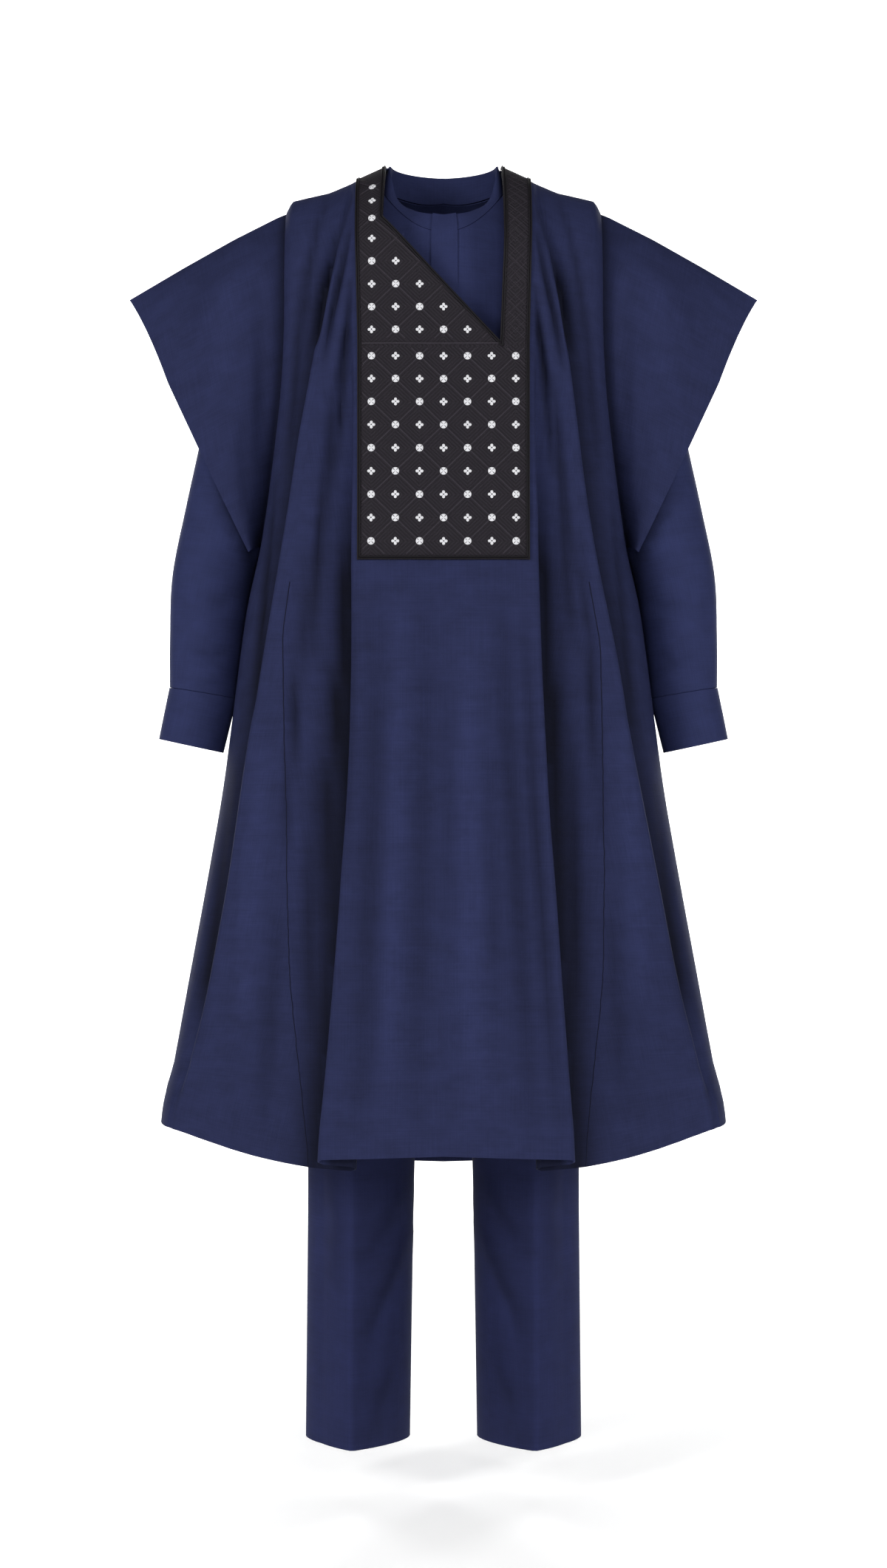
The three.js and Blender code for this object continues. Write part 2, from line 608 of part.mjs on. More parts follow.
function shirtCollar() {
  const rows = [[], [], []];
  for (let i = 0; i < COLLAR_POINTS; i += 1) {
    const angle = (2 * Math.PI * i) / COLLAR_POINTS;
    const fromFront = THREE.MathUtils.radToDeg(Math.min(angle, 2 * Math.PI - angle));
    const ring = ({ centreY, halfWidth, halfDepth }) => [
      halfWidth * Math.sin(angle), centreY - halfDepth * Math.cos(angle),
    ];
    const [x, y] = ring(NECK_HOLE);
    const seam = new THREE.Vector3(x, y, shirtHeight(x, y) + COLLAR_LIFT);
    const [topX, topY] = ring(COLLAR_TOP_RING);
    const top = new THREE.Vector3(topX, topY, lookUp(COLLAR_TOP, fromFront, 1));
    const middle = new THREE.Vector3().lerpVectors(seam, top, 0.5);
    middle.z += COLLAR_SWELL;
    rows[0].push(top);
    rows[1].push(middle);
    rows[2].push(seam);
  }
  return gridWall(rows, BAND_CLOTH, { closed: true });
}

// The placket starts just under the collar; its grid is the middle columns of the shirt's front
const PLACKET = { left: -13.6, right: 15.6, bottom: -335, belowCollar: 2.5, rows: [3, 12] };

function shirtPlacket() {
  const rows = shirtGrid(FRONT).slice(...PLACKET.rows);
  const grid = rows.map((row) => row.slice(SHIRT_STEPS - 1, SHIRT_STEPS + 2));
  const layer = gridWall(grid, SHIRT_CLOTH, { lift: SEAM_GAP + SHIRT_CLOTH });
  const { left, right, bottom, belowCollar } = PLACKET;
  const top = shirtHeight(0, NECK_HOLE.centreY - NECK_HOLE.halfDepth) - belowCollar;
  const outline = [[left, top], [left, bottom], [right, bottom], [right, top]];
  return intersect(layer, frontPrism(outline, -DEEP, 0));
}

// Shirt sleeve rings: centre x, centre z, lean of the ring in degrees, half width, half depth
const ARM_RINGS = [
  [175, -133.5, 2, 71.6, 42], [197.5, -151.5, 23.4, 61.6, 44], [212.2, -195.5, 51, 48.5, 45],
  [222.3, -253, 72, 48.1, 45], [231, -311.5, 78, 50, 45], [249.5, -387, 80, 48, 44],
  [265.5, -460, 84, 46.5, 43], [272.5, -530, 87, 42, 41], [276.3, -589, 80.7, 38.7, 38],
];
const CUFF_RINGS = [
  [276.4, -589.5, 80.7, 39.2, 38.6], [283.5, -621, 79, 38.6, 37.6], [290, -650, 77.8, 37.9, 36.6],
];
const ARM_POINTS = 14;
const ARMHOLE_GAP = 0.9;

function armRing([x, z, lean, halfWidth, halfDepth], sideSign) {
  const angle = THREE.MathUtils.degToRad(lean);
  const ring = [];
  for (let i = 0; i < ARM_POINTS; i += 1) {
    const around = (2 * Math.PI * i) / ARM_POINTS;
    const out = halfWidth * Math.cos(around);
    ring.push(new THREE.Vector3(
      sideSign * (x + out * Math.sin(angle)),
      -halfDepth * Math.sin(around),
      z + out * Math.cos(angle),
    ));
  }
  return ring;
}

// The sleeve's head follows the shirt's armhole
function armholeRing(sideSign) {
  const ring = [];
  for (let i = 0; i < ARM_POINTS; i += 1) {
    const around = (2 * Math.PI * i) / ARM_POINTS;
    const face = Math.sin(around) >= 0 ? FRONT : BACK;
    const drop = (ARMHOLE_BOTTOM * (1 - Math.cos(around))) / 2;
    const p = shirtPoint(sideSign, drop, face);
    ring.push(new THREE.Vector3(p.x + sideSign * ARMHOLE_GAP, p.y, p.z - ARMHOLE_GAP));
  }
  return ring;
}

function shirtSleeve(sideSign) {
  const rings = [armholeRing(sideSign), ...ARM_RINGS.map((ring) => armRing(ring, sideSign))];
  return gridWall(rings, SHIRT_CLOTH, { closed: true, flip: sideSign > 0 });
}

function shirtCuff(sideSign) {
  const rings = CUFF_RINGS.map((ring) => armRing(ring, sideSign));
  return gridWall(rings, BAND_CLOTH, { closed: true, flip: sideSign > 0 });
}

// Trousers: leg sections z, centre x, half width, front depth, back depth, crease height,
// crease offset outward from the centre
const LEG_SECTIONS = [
  [-492, 84, 84, 104, 100, 0, 0], [-560, 86, 86, 106, 108, 0, 0], [-630, 88, 88, 104, 112, 1, 0],
  [-690, 88, 87.5, 100, 108, 2, 1], [-735, 87, 81, 92, 95, 3, 2], [-800, 88, 77, 90, 90, 4, 4],
  [-900, 91, 70, 83, 82, 5, 6], [-1010, 93, 63.5, 76, 76, 6, 7], [-1130, 94.5, 59.8, 71, 71, 7, 7.5],
  [-1290, 96.5, 58.8, 70, 70, 7, 6.5], [-1442, 98.4, 58.4, 69, 69, 7, 4.5],
];
const LEG_POINTS = 18;
const LEG_GAP = 0.9;
const CROTCH_ROW = 3;
const CROTCH_Z = LEG_SECTIONS[CROTCH_ROW][0];
// Below the crotch the outer part of a leg's ring passes the half by this share of half a turn,
// which narrows over the first stretch of the leg
const INNER_TURN = { top: 0.42, bottom: 0.28, over: 110 };
const MIDDLE_SEAM_BOW = 1.5;
const CREASE_FROM = 0.75;
const WAIST = { top: -452, bottom: -491.4, halfWidth: 169.6, front: 105.2, back: 101.2 };
const HIP_POINTS = 11;
const WAIST_POINTS = 36;

// A leg's ring starts at the front on the middle seam and goes round the outer side. Above the
// crotch only the outer part is cloth, because both legs share one hollow there.
function legRing(row, sideSign) {
  const [z, centreX, halfWidth, front, back, crease, offset] = LEG_SECTIONS[row];
  const aboveCrotch = row <= CROTCH_ROW;
  const ring = [];
  for (let i = 0; i < LEG_POINTS; i += 1) {
    let x;
    let y;
    if (i < HIP_POINTS && aboveCrotch) {
      const around = (Math.PI * i) / (HIP_POINTS - 1);
      const wide = centreX + halfWidth - LEG_GAP;
      x = LEG_GAP + wide * Math.sin(around);
      y = -Math.cos(around) * (Math.cos(around) > 0 ? front : back);
    } else if (aboveCrotch) {
      const share = (i - HIP_POINTS + 1) / (LEG_POINTS - HIP_POINTS + 1);
      x = LEG_GAP + MIDDLE_SEAM_BOW * Math.sin(Math.PI * share);
      y = THREE.MathUtils.lerp(back, -front, share);
    } else {
      const outer = i < HIP_POINTS;
      const past = i - HIP_POINTS + 1;
      const share = outer ? i / (HIP_POINTS - 1) : past / (LEG_POINTS - HIP_POINTS + 1);
      const spread = THREE.MathUtils.clamp((CROTCH_Z - z) / INNER_TURN.over, 0, 1);
      const start = THREE.MathUtils.lerp(INNER_TURN.top, INNER_TURN.bottom, spread) * Math.PI;
      const around = outer
        ? THREE.MathUtils.lerp(-start, Math.PI + start, share)
        : THREE.MathUtils.lerp(Math.PI + start, 2 * Math.PI - start, share);
      x = centreX + halfWidth * Math.sin(around);
      y = -Math.cos(around) * (Math.cos(around) > 0 ? front : back);
      const near = Math.max(Math.abs(Math.cos(around)) - CREASE_FROM, 0) / (1 - CREASE_FROM);
      y += Math.sign(y) * crease * near;
      x += offset * near;
    }
    ring.push(new THREE.Vector3(sideSign * x, y, z));
  }
  return ring;
}

function trouserLeg(sideSign) {
  const rings = LEG_SECTIONS.map((section, row) => legRing(row, sideSign));
  const skip = (row, i) => row < CROTCH_ROW && i >= HIP_POINTS - 1;
  return gridWall(rings, TROUSER_CLOTH, { closed: true, flip: sideSign > 0, skip });
}

function trouserWaistband() {
  const rows = [WAIST.top, WAIST.bottom].map((z) => {
    const row = [];
    for (let i = 0; i < WAIST_POINTS; i += 1) {
      const around = (2 * Math.PI * i) / WAIST_POINTS;
      const depth = Math.cos(around) > 0 ? WAIST.front : WAIST.back;
      row.push(new THREE.Vector3(WAIST.halfWidth * Math.sin(around), -depth * Math.cos(around), z));
    }
    return row;
  });
  return gridWall(rows, BAND_CLOTH, { closed: true });
}

// Finishes
const NAVY = 0x2c3257;
const NAVY_TROUSER = 0x252849;
const WORKED_BLACK = 0x252428;
const CLOTH_ROUGHNESS = 0.92;

function cloth(color, roughness = CLOTH_ROUGHNESS) {
  return new THREE.MeshStandardMaterial({ color, roughness, metalness: 0 });
}

const group = new THREE.Group();

function addPiece(name, geometry, material) {
  const mesh = new THREE.Mesh(geometry, material);
  mesh.name = name;
  group.add(mesh);
}

addPiece('robe_front', robeFront(), cloth(NAVY));
addPiece('robe_back', robeBack(), cloth(NAVY));
addPiece('robe_yoke', robeYoke(), cloth(WORKED_BLACK, 0.8));
addPiece('robe_yoke_outer_cord', yokeOuterCord(), cloth(WORKED_BLACK, 0.7));
addPiece('robe_yoke_neck_cord', yokeNeckCord(), cloth(WORKED_BLACK, 0.7));
addPiece('robe_back_neck_band', backNeckBand(), cloth(WORKED_BLACK, 0.8));
addPiece('shirt_front', shirtBody(FRONT), cloth(NAVY));
addPiece('shirt_back', shirtBody(BACK), cloth(NAVY));
addPiece('shirt_collar', shirtCollar(), cloth(NAVY));
addPiece('shirt_placket', shirtPlacket(), cloth(NAVY));
addPiece('trouser_waistband', trouserWaistband(), cloth(NAVY_TROUSER));
for (const [side, sideSign] of [['left', -1], ['right', 1]]) {
  addPiece(`robe_side_front_${side}`, gridWall(
    sidePanel(frontHalf, sideSign, FRONT_STEPS), ROBE_CLOTH, { flip: sideSign < 0 }), cloth(NAVY));
  addPiece(`robe_side_back_${side}`, gridWall(
    sidePanel(backHalf, sideSign, BACK_STEPS), ROBE_CLOTH, { flip: sideSign > 0 }), cloth(NAVY));
  addPiece(`robe_sleeve_${side}`, robeSleeve(sideSign), cloth(NAVY));
  addPiece(`shirt_sleeve_${side}`, shirtSleeve(sideSign), cloth(NAVY));
  addPiece(`shirt_cuff_${side}`, shirtCuff(sideSign), cloth(NAVY));
  addPiece(`trouser_leg_${side}`, trouserLeg(sideSign), cloth(NAVY_TROUSER));
}

export default group;
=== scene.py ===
# %% [markdown]
# # An agbada set in matching navy cloth
# The set is three garments worn over each other: a wide robe whose open sleeves stand out like
# wings, a long-sleeved shirt with a narrow collar band, and straight trousers with a pressed
# crease. The solids of the frame hold its true size. This lesson dresses them in finer cloth.
# Everything is in metres, +Z up, and the front faces -Y.

# %% Load the frame
import math

import bpy
import numpy as np
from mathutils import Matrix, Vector


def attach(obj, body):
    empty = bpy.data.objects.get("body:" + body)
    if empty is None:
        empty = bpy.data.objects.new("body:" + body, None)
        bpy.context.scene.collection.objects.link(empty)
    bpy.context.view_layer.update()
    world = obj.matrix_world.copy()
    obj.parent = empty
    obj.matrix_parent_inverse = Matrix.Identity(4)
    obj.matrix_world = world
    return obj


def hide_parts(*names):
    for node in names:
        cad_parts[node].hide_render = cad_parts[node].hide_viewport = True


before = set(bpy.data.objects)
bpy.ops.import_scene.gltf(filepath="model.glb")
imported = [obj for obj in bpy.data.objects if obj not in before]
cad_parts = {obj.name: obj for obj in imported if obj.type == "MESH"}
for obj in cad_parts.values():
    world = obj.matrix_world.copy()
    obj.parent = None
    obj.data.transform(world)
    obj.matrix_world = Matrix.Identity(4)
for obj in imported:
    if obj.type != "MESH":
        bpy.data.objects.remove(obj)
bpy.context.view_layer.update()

# %% [markdown]
# ## The camera
# A catalogue picture of a garment is taken square on, from the height of its middle, so that the
# hems bow gently: near cloth hangs lower in the picture than far cloth. The camera could be an
# orthographic one, but then the bow is lost. A long lens three metres away keeps it.

# %% Camera
CAMERA_DISTANCE = 3.100
CAMERA_HEIGHT = -0.6936
PICTURE_WIDTH = 1200
PICTURE_HEIGHT = 2122
METRES_A_PIXEL = 0.00085
SENSOR = 0.036

camera_data = bpy.data.cameras.new("square_on")
camera_data.sensor_fit = "VERTICAL"
camera_data.sensor_height = SENSOR * 1000
camera_data.lens = SENSOR * 1000 * CAMERA_DISTANCE / (PICTURE_HEIGHT * METRES_A_PIXEL)
camera = bpy.data.objects.new("square_on", camera_data)
camera.location = (0, -CAMERA_DISTANCE, CAMERA_HEIGHT)
camera.rotation_euler = (math.pi / 2, 0, 0)
bpy.context.scene.collection.objects.link(camera)
bpy.context.scene.camera = camera
print("lens", round(camera_data.lens, 1), "mm")

# %% [markdown]
# ## Reading a cutting table
# A fold's place changes down the cloth. It could be drawn as a curve object, but a short table of
# heights with named columns is easier to change. Rows give millimetres down from the shoulder.
# Each reading is averaged over a few centimetres, so that no corner shows between two rows.

# %% Table readers
MM = 0.001
SIDES = {-1: "left", 1: "right"}
READ_OVER = (-28, -14, 0, 14, 28)


def straight(table, down, column):
    """The value of a column at a distance down the cloth, straight between the rows."""
    return float(np.interp(down, [row[0] for row in table], [row[column] for row in table]))


def smooth(table, down, column):
    """The same value with the corners between rows rounded."""
    return sum(straight(table, down + step, column) for step in READ_OVER) / len(READ_OVER)


def eased(t):
    """0 to 1 with a soft start and a soft end."""
    t = np.clip(t, 0, 1)
    return t * t * (3 - 2 * t)


def arched(share, power):
    """A quarter round from 0 to 1: how far a cloth has come out from its ridge."""
    return (1 - (1 - share) ** power) ** (1 / power)


def running_length(line):
    """Distance along a line at each of its points."""
    return np.concatenate([[0], np.cumsum(np.linalg.norm(np.diff(line, axis=0), axis=1))])


# %% [markdown]
# ## The robe's cut
# An agbada is a very wide cloth that hangs from the shoulders. Here its fullness falls into four
# long laid folds on the front: two beside the middle panel and two near the sides. A laid fold
# turns back, runs under itself, and turns out again. Draping a flat sheet by simulation would
# give folds somewhere, but not these, so each one is laid by its own table.

# %% Robe tables
# Shoulder ridge: x out from the centre, height. The cloth forgets its slope over the fade
RIDGE = [(0, 14), (64, 13), (99, -3), (130, -16), (173, -25), (180, -38)]
RIDGE_FADE = 300
SHOULDER_HEIGHT = 120
EDGE_DEPTH = 0.15

# Centre line: down, depth
FRONT_CENTRE = [
    (0, 116), (120, 120), (200, 130), (350, 147), (500, 158), (650, 169), (800, 180), (950, 190),
    (1100, 198),
]
BACK_CENTRE = [(0, 108), (120, 114), (200, 122), (350, 132), (500, 140), (800, 158), (1150, 182)]

# Folds: down, x on the left, x on the right, depth, turn in degrees, arc of each turn, run under
FRONT_PANEL_FOLD = [
    (0, 97, 97, 114, 0, 1.2, 1),
    (150, 97, 97, 122, 0, 2, 1),
    (200, 98, 98, 128, 40, 6, 1.5),
    (260, 99, 100, 138, 90, 10, 3),
    (360, 101, 103, 147, 120, 12, 6),
    (450, 102, 106, 154, 135, 13, 9),
    (560, 103, 108, 162, 150, 14, 12),
    (645, 105, 112, 168, 160, 15, 15),
    (725, 108, 116, 174, 165, 15.5, 18),
    (825, 114, 124, 179, 168, 16, 21),
    (905, 120, 129, 184, 170, 16, 24),
    (1000, 128, 136, 189, 172, 16, 27),
    (1100, 137, 143, 195, 172, 16, 30),
]
FRONT_SIDE_FOLD = [
    (0, 106, 106, 104, 0, 1.5, 1),
    (30, 110, 109, 105, 30, 3, 1.5),
    (60, 115, 114, 106, 80, 6, 3),
    (93, 124, 122, 107, 110, 8, 5),
    (124, 130, 129, 108, 130, 9, 7),
    (165, 137, 133, 110, 140, 10, 8),
    (230, 148, 142, 115, 145, 11, 9),
    (317, 163, 152, 120, 148, 12, 10),
    (380, 172, 160, 121, 150, 12.5, 11),
    (440, 182, 170, 120, 150, 13, 12),
    (562, 203, 196, 116, 150, 13, 13),
    (652, 219, 210, 113, 150, 13, 13),
    (808, 242, 242, 105, 145, 13, 13),
    (932, 268, 269, 98, 125, 12, 9),
    (1011, 285, 287, 91, 95, 10, 5),
    (1100, 301, 301, 78, 30, 6, 2),
]
BACK_PANEL_FOLD = [
    (0, 70, 68, 107, 0, 3, 1),
    (200, 74, 71, 120, 40, 6, 2),
    (400, 80, 76, 133, 90, 9, 4),
    (600, 88, 85, 145, 125, 12, 8),
    (800, 98, 96, 157, 145, 14, 13),
    (1000, 110, 109, 169, 155, 15, 19),
    (1150, 119, 120, 179, 160, 15, 24),
]
BACK_SIDE_FOLD = [
    (0, 112, 112, 98, 0, 3, 1),
    (60, 118, 117, 99, 60, 5, 3),
    (130, 128, 126, 102, 115, 8, 6),
    (300, 150, 146, 110, 140, 11, 9),
    (460, 176, 170, 114, 145, 12, 11),
    (600, 198, 194, 112, 145, 12, 12),
    (800, 230, 229, 105, 140, 12, 11),
    (1000, 264, 266, 94, 90, 9, 5),
    (1150, 284, 284, 82, 30, 6, 2),
]
# Gore seams: down, x on the left, x on the right
FRONT_SEAM = [
    (0, 104, 104), (60, 110, 110), (124, 124, 123), (230, 140, 134), (317, 152, 143),
    (440, 170, 160), (517, 177, 172), (685, 174.5, 176), (806, 172, 177), (907, 169.5, 176),
    (987, 161, 167), (1100, 148, 155),
]
BACK_SEAM = [
    (0, 104, 104), (130, 118, 117), (300, 134, 131), (460, 152, 148), (600, 158, 156), (800, 160, 160),
    (1000, 158, 160), (1150, 152, 155),
]
# Side line: down, x, depth. It is the armhole's edge down to the underarm and then the side seam
UNDERARM = 440
SIDE_LINE = [
    (0, 180, 58), (165, 180, 58), (232, 183, 56), (288, 188, 52), (349, 196, 42), (400, 204, 26),
]
SIDE_LINE += [(down, x, EDGE_DEPTH) for down, x in (
    (UNDERARM, 212.5), (472, 222), (489, 225), (540, 232.2), (591, 238.6), (642, 245), (705, 253.5),
    (820, 274), (931, 294.5), (1024, 310.5), (1100, 321),
)]
# Hems at the stations: centre, panel fold in and out, seam, side fold in and out, side line
FRONT_HEM = (1095, 1099, 1114, 1112, 1082, 1079, 1073)
BACK_HEM = (1153, 1150, 1148, 1135, 1099, 1096, 1073)
HEM_BOW = 5

FACES = {
    "front": dict(sign=-1, centre=FRONT_CENTRE, panel=FRONT_PANEL_FOLD, side=FRONT_SIDE_FOLD,
                  seam=FRONT_SEAM, hem=FRONT_HEM, power=2),
    "back": dict(sign=1, centre=BACK_CENTRE, panel=BACK_PANEL_FOLD, side=BACK_SIDE_FOLD,
                 seam=BACK_SEAM, hem=BACK_HEM, power=3),
}
COLUMN_OF = {-1: 1, 1: 2}
print("hems from", min(FRONT_HEM + BACK_HEM), "to", max(FRONT_HEM + BACK_HEM), "mm down")

# %% [markdown]
# ## One section of the robe
# Seen from above, half the robe at one height is a line: across the middle panel, through one
# laid fold, over the side panel, through the second fold, and round to the side. A fold is a turn
# of fixed length, a straight run and the same turn back, so it opens out where its angle is small.

# %% Section
STEPS = dict(centre=20, arc=6, run=3, to_seam=8, seam_to_fold=12, to_side=14)
# Headings of the cloth in radians, where the panel meets its fold and where the side meets its own
LEAN = -0.12
SIDE_LEAN = -0.2
# Past the side fold the cloth heads for the side seam, the more so where less room is left
WIDE_ROOM = 45
MOST_TURNED = 0.85
# The seam keeps to this part of the way between the folds, whose columns are picked from fine steps
SEAM_SHARES = (0.2, 0.85)
FINE_STEPS = 200
# A fold starts up to this much before its place in the table, so that its rounded edge lies there
LARGEST_ROUNDING = 7


def bend(start, heading, end, end_heading, steps, pull=1.0):
    """Points of a curve that leaves one point with a heading and meets another with its own."""
    start, end = np.array(start), np.array(end)
    reach = np.linalg.norm(end - start) * pull
    t = (np.arange(steps) + 1)[:, None] / steps
    out = np.array([math.cos(heading), math.sin(heading)]) * reach
    home = np.array([math.cos(end_heading), math.sin(end_heading)]) * reach
    return ((2 * t**3 - 3 * t**2 + 1) * start + (t**3 - 2 * t**2 + t) * out
            + (3 * t**2 - 2 * t**3) * end + (t**3 - t**2) * home)


def laid_fold(start, heading, turn, arc, run, steps):
    """The cloth turns back through an angle, runs under itself and turns out again."""
    back_step, turn_step = turn / steps["arc"], arc / steps["arc"]
    bends = [-back_step] * steps["arc"] + [0] * steps["run"] + [back_step] * steps["arc"]
    lengths = [turn_step] * steps["arc"] + [run / steps["run"]] * steps["run"]
    lengths += [turn_step] * steps["arc"]
    points = []
    place = np.array(start, float)
    angle = heading
    for turn_by, length in zip(bends, lengths):
        half_way = angle + turn_by / 2
        place = place + np.array([math.cos(half_way), math.sin(half_way)]) * length
        angle += turn_by
        points.append(place)
    return np.array(points)


def fold_at(table, down, column):
    """Where a laid fold starts at one height, and how it turns."""
    turn = math.radians(smooth(table, down, 4))
    arc = smooth(table, down, 5)
    rounding = min(arc / turn, LARGEST_ROUNDING) * min(turn / 2, 1) if turn > 0.05 else 0
    start = (smooth(table, down, column) - rounding, smooth(table, down, 3))
    return start, turn, arc, smooth(table, down, 6)


def half_section(face, down, column, steps=STEPS):
    """Half of the robe seen from above at one height: x and depth, in millimetres."""
    panel, panel_turn, panel_arc, panel_run = fold_at(face["panel"], down, column)
    side, side_turn, side_arc, side_run = fold_at(face["side"], down, column)
    centre = (0, smooth(face["centre"], down, 1))
    line = [np.array([centre]), bend(centre, 0, panel, LEAN, steps["centre"])]
    line.append(laid_fold(panel, LEAN, panel_turn, panel_arc, panel_run, steps))
    after = line[-1][-1]
    seam_x = smooth(face["seam"], down, column)
    share = np.clip((seam_x - after[0]) / (side[0] - after[0]), *SEAM_SHARES)
    whole = bend(after, LEAN, side, SIDE_LEAN, FINE_STEPS, 0.9)
    for low, high, count in ((0, share, steps["to_seam"]), (share, 1, steps["seam_to_fold"])):
        spots = low + (high - low) * (np.arange(count) + 1) / count
        line.append(whole[np.maximum(np.round(spots * FINE_STEPS).astype(int) - 1, 0)])
    line.append(laid_fold(side, SIDE_LEAN, side_turn, side_arc, side_run, steps))
    edge = (smooth(SIDE_LINE, down, 1), straight(SIDE_LINE, down, 2))
    last = line[-1][-1]
    room = edge[0] - last[0]
    turned = MOST_TURNED * min(max(1 - room / WIDE_ROOM, 0), 1)
    heading = SIDE_LEAN + turned * (-math.atan2(last[1], max(room, 1)) - SIDE_LEAN)
    line.append(bend(last, heading, edge, -math.pi / 2, steps["to_side"], 1.1))
    return np.concatenate(line)


def stations(steps=STEPS):
    """Column numbers of the stations across a half."""
    fold = 2 * steps["arc"] + steps["run"]
    counts = [0, steps["centre"], fold, steps["to_seam"], steps["seam_to_fold"], fold, steps["to_side"]]
    return [int(mark) for mark in np.cumsum(counts)]


MARKS = dict(zip(("centre", "panel_in", "panel_out", "seam", "side_in", "side_out", "edge"), stations()))
print("columns of the stations:", MARKS)

# %% [markdown]
# ## From sections to a grid
# Rows of the grid run down from the shoulder ridge. Close to the ridge the cloth lies almost
# level, so the rows there are spaced by the angle of the shoulder's round instead of by height.

# %% Grid of the robe
ROUND_ROWS = 14
HANG_STEP = 7.0
HEM_START = 1010
HEM_ROWS = 10


def shoulder_curve(down, power):
    """How far the cloth has come out from the ridge after a drop, from 0 to 1."""
    return arched(np.minimum(down / SHOULDER_HEIGHT, 1), power)


def ridge_height(x, down):
    """How high above its drop the cloth lies, for the slope of the shoulder."""
    return np.interp(np.abs(x), *zip(*RIDGE)) * np.maximum(1 - down / RIDGE_FADE, 0)


def robe_rows():
    """Distances down from the ridge to where the rows of the hem start."""
    angles = np.linspace(0, math.pi / 2, ROUND_ROWS + 1)
    rounded = list(SHOULDER_HEIGHT * (1 - np.cos(angles)))
    hanging = list(np.arange(SHOULDER_HEIGHT + HANG_STEP, HEM_START, HANG_STEP))
    return rounded + hanging + [HEM_START]


def robe_half(face_name, side):
    """Outer points of half the robe: rows down, columns out from the centre, in metres."""
    face = FACES[face_name]
    column = COLUMN_OF[side]
    columns = np.arange(MARKS["edge"] + 1)
    past_seam = np.clip((columns - MARKS["seam"]) / (MARKS["side_in"] - MARKS["seam"]), 0, 1)
    hem = np.interp(columns, list(MARKS.values()), face["hem"]) + HEM_BOW * np.sin(math.pi * past_seam)
    rows = []
    for down in robe_rows():
        line = half_section(face, down, column)
        depth = np.maximum(line[:, 1] * shoulder_curve(down, face["power"]), EDGE_DEPTH)
        height = ridge_height(line[:, 0], down) - down
        rows.append(np.column_stack([side * line[:, 0], face["sign"] * depth, height]))
    for share in (np.arange(HEM_ROWS) + 1) / HEM_ROWS:
        line = half_section(face, HEM_START + share * (max(face["hem"]) - HEM_START), column)
        height = -(HEM_START + share * (hem - HEM_START))
        depth = np.maximum(line[:, 1], EDGE_DEPTH)
        rows.append(np.column_stack([side * line[:, 0], face["sign"] * depth, height]))
    return np.array(rows) * MM


halves = {face_name: {side: robe_half(face_name, side) for side in SIDES} for face_name in FACES}
print("a half's grid:", halves["front"][1].shape)

# %% [markdown]
# ## Soft creases
# Worn cloth also has small uneven hollows and ridges that no table of sections holds. Noise would
# put them everywhere alike. Instead each one is drawn on the front view as a short line
# with its own width and height, and it fades out at both ends. Pale light from all sides hardly
# shades a shallow hollow, so its depth is also kept for the material, which darkens it there.

# %% Creases
CREASE_GAIN = 1.5
# Crease depth that gets the full painted shade, and the painted highlight on a ridge as a negative shade
DEEP_HOLLOW = 6 * MM
RIDGE_SHADE = -0.3
FACING = 0.001


def crease_offset(points, front, back):
    """How far each point moves along its normal, in metres. A crease is a list of front-view spots
    in millimetres, then its width and its height, which is negative for a hollow."""
    flat = points.reshape(-1, 3)
    across, height = flat[:, 0] / MM, flat[:, 2] / MM
    offset = np.zeros(len(flat))
    creases = [(crease, flat[:, 1] < -FACING) for crease in front]
    creases += [(crease, flat[:, 1] > FACING) for crease in back]
    for (spots, width, rise), facing in creases:
        spots = np.array(spots, float)
        lengths = np.linalg.norm(np.diff(spots, axis=0), axis=1)
        best = np.full(len(flat), np.inf)
        along = np.zeros(len(flat))
        run = 0.0
        for a, b, length in zip(spots[:-1], spots[1:], lengths):
            way = b - a
            t = np.clip(((across - a[0]) * way[0] + (height - a[1]) * way[1]) / length**2, 0, 1)
            gap = np.hypot(across - a[0] - t * way[0], height - a[1] - t * way[1])
            along = np.where(gap < best, (run + t * length) / lengths.sum(), along)
            best = np.minimum(best, gap)
            run += length
        taper = np.sin(math.pi * np.clip(along, 0, 1)) ** 0.7
        offset += np.where(facing, CREASE_GAIN * rise * taper * np.exp(-((best / width) ** 2)), 0)
    return offset.reshape(points.shape[:-1]) * MM


def painted_crease_shade(offset):
    """Painted shade from how deep each point lies in its crease: up to 1 in a deep hollow, and below 0 a
    painted highlight on a ridge.
    """
    return np.clip(-offset / DEEP_HOLLOW, RIDGE_SHADE, 1)


def mirrored(creases, shift=0, scale=1.0):
    """The same creases on the other side, a little moved and weakened so that they aren't twins."""
    return [([(-x, z + shift) for x, z in spots], width, rise * scale) for spots, width, rise in creases]


def weaker(creases, scale):
    """The same creases, pressed in less."""
    return [(spots, width, rise * scale) for spots, width, rise in creases]


# %% [markdown]
# ## A cloth wall
# Each piece is a thin closed shell: an outer side, an inner side one cloth's thickness in, and a
# rim along every free edge. Blender's Solidify modifier could add the inner side, but building it
# here keeps the outer side exactly where the section put it. A map called "cut" keeps the distance
# along both threads, so that the weave follows the cloth through every fold, and a value at each
# point holds the painted shade it gets: most deep in a fold, and below 0 a painted highlight.

# %% Wall builder
SHARP_ANGLE = math.radians(42)


def quad_list(rows, columns, closed, flip, keep):
    """Quads over the points of a grid."""
    last_column = columns if closed else columns - 1
    row, column = np.meshgrid(np.arange(rows - 1), np.arange(last_column), indexing="ij")
    beside = (column + 1) % columns
    quads = np.stack([row * columns + column, (row + 1) * columns + column,
                      (row + 1) * columns + beside, row * columns + beside], axis=-1)
    if keep is not None:
        quads = quads[keep]
    quads = quads.reshape(-1, 4)
    return quads[:, ::-1] if flip else quads


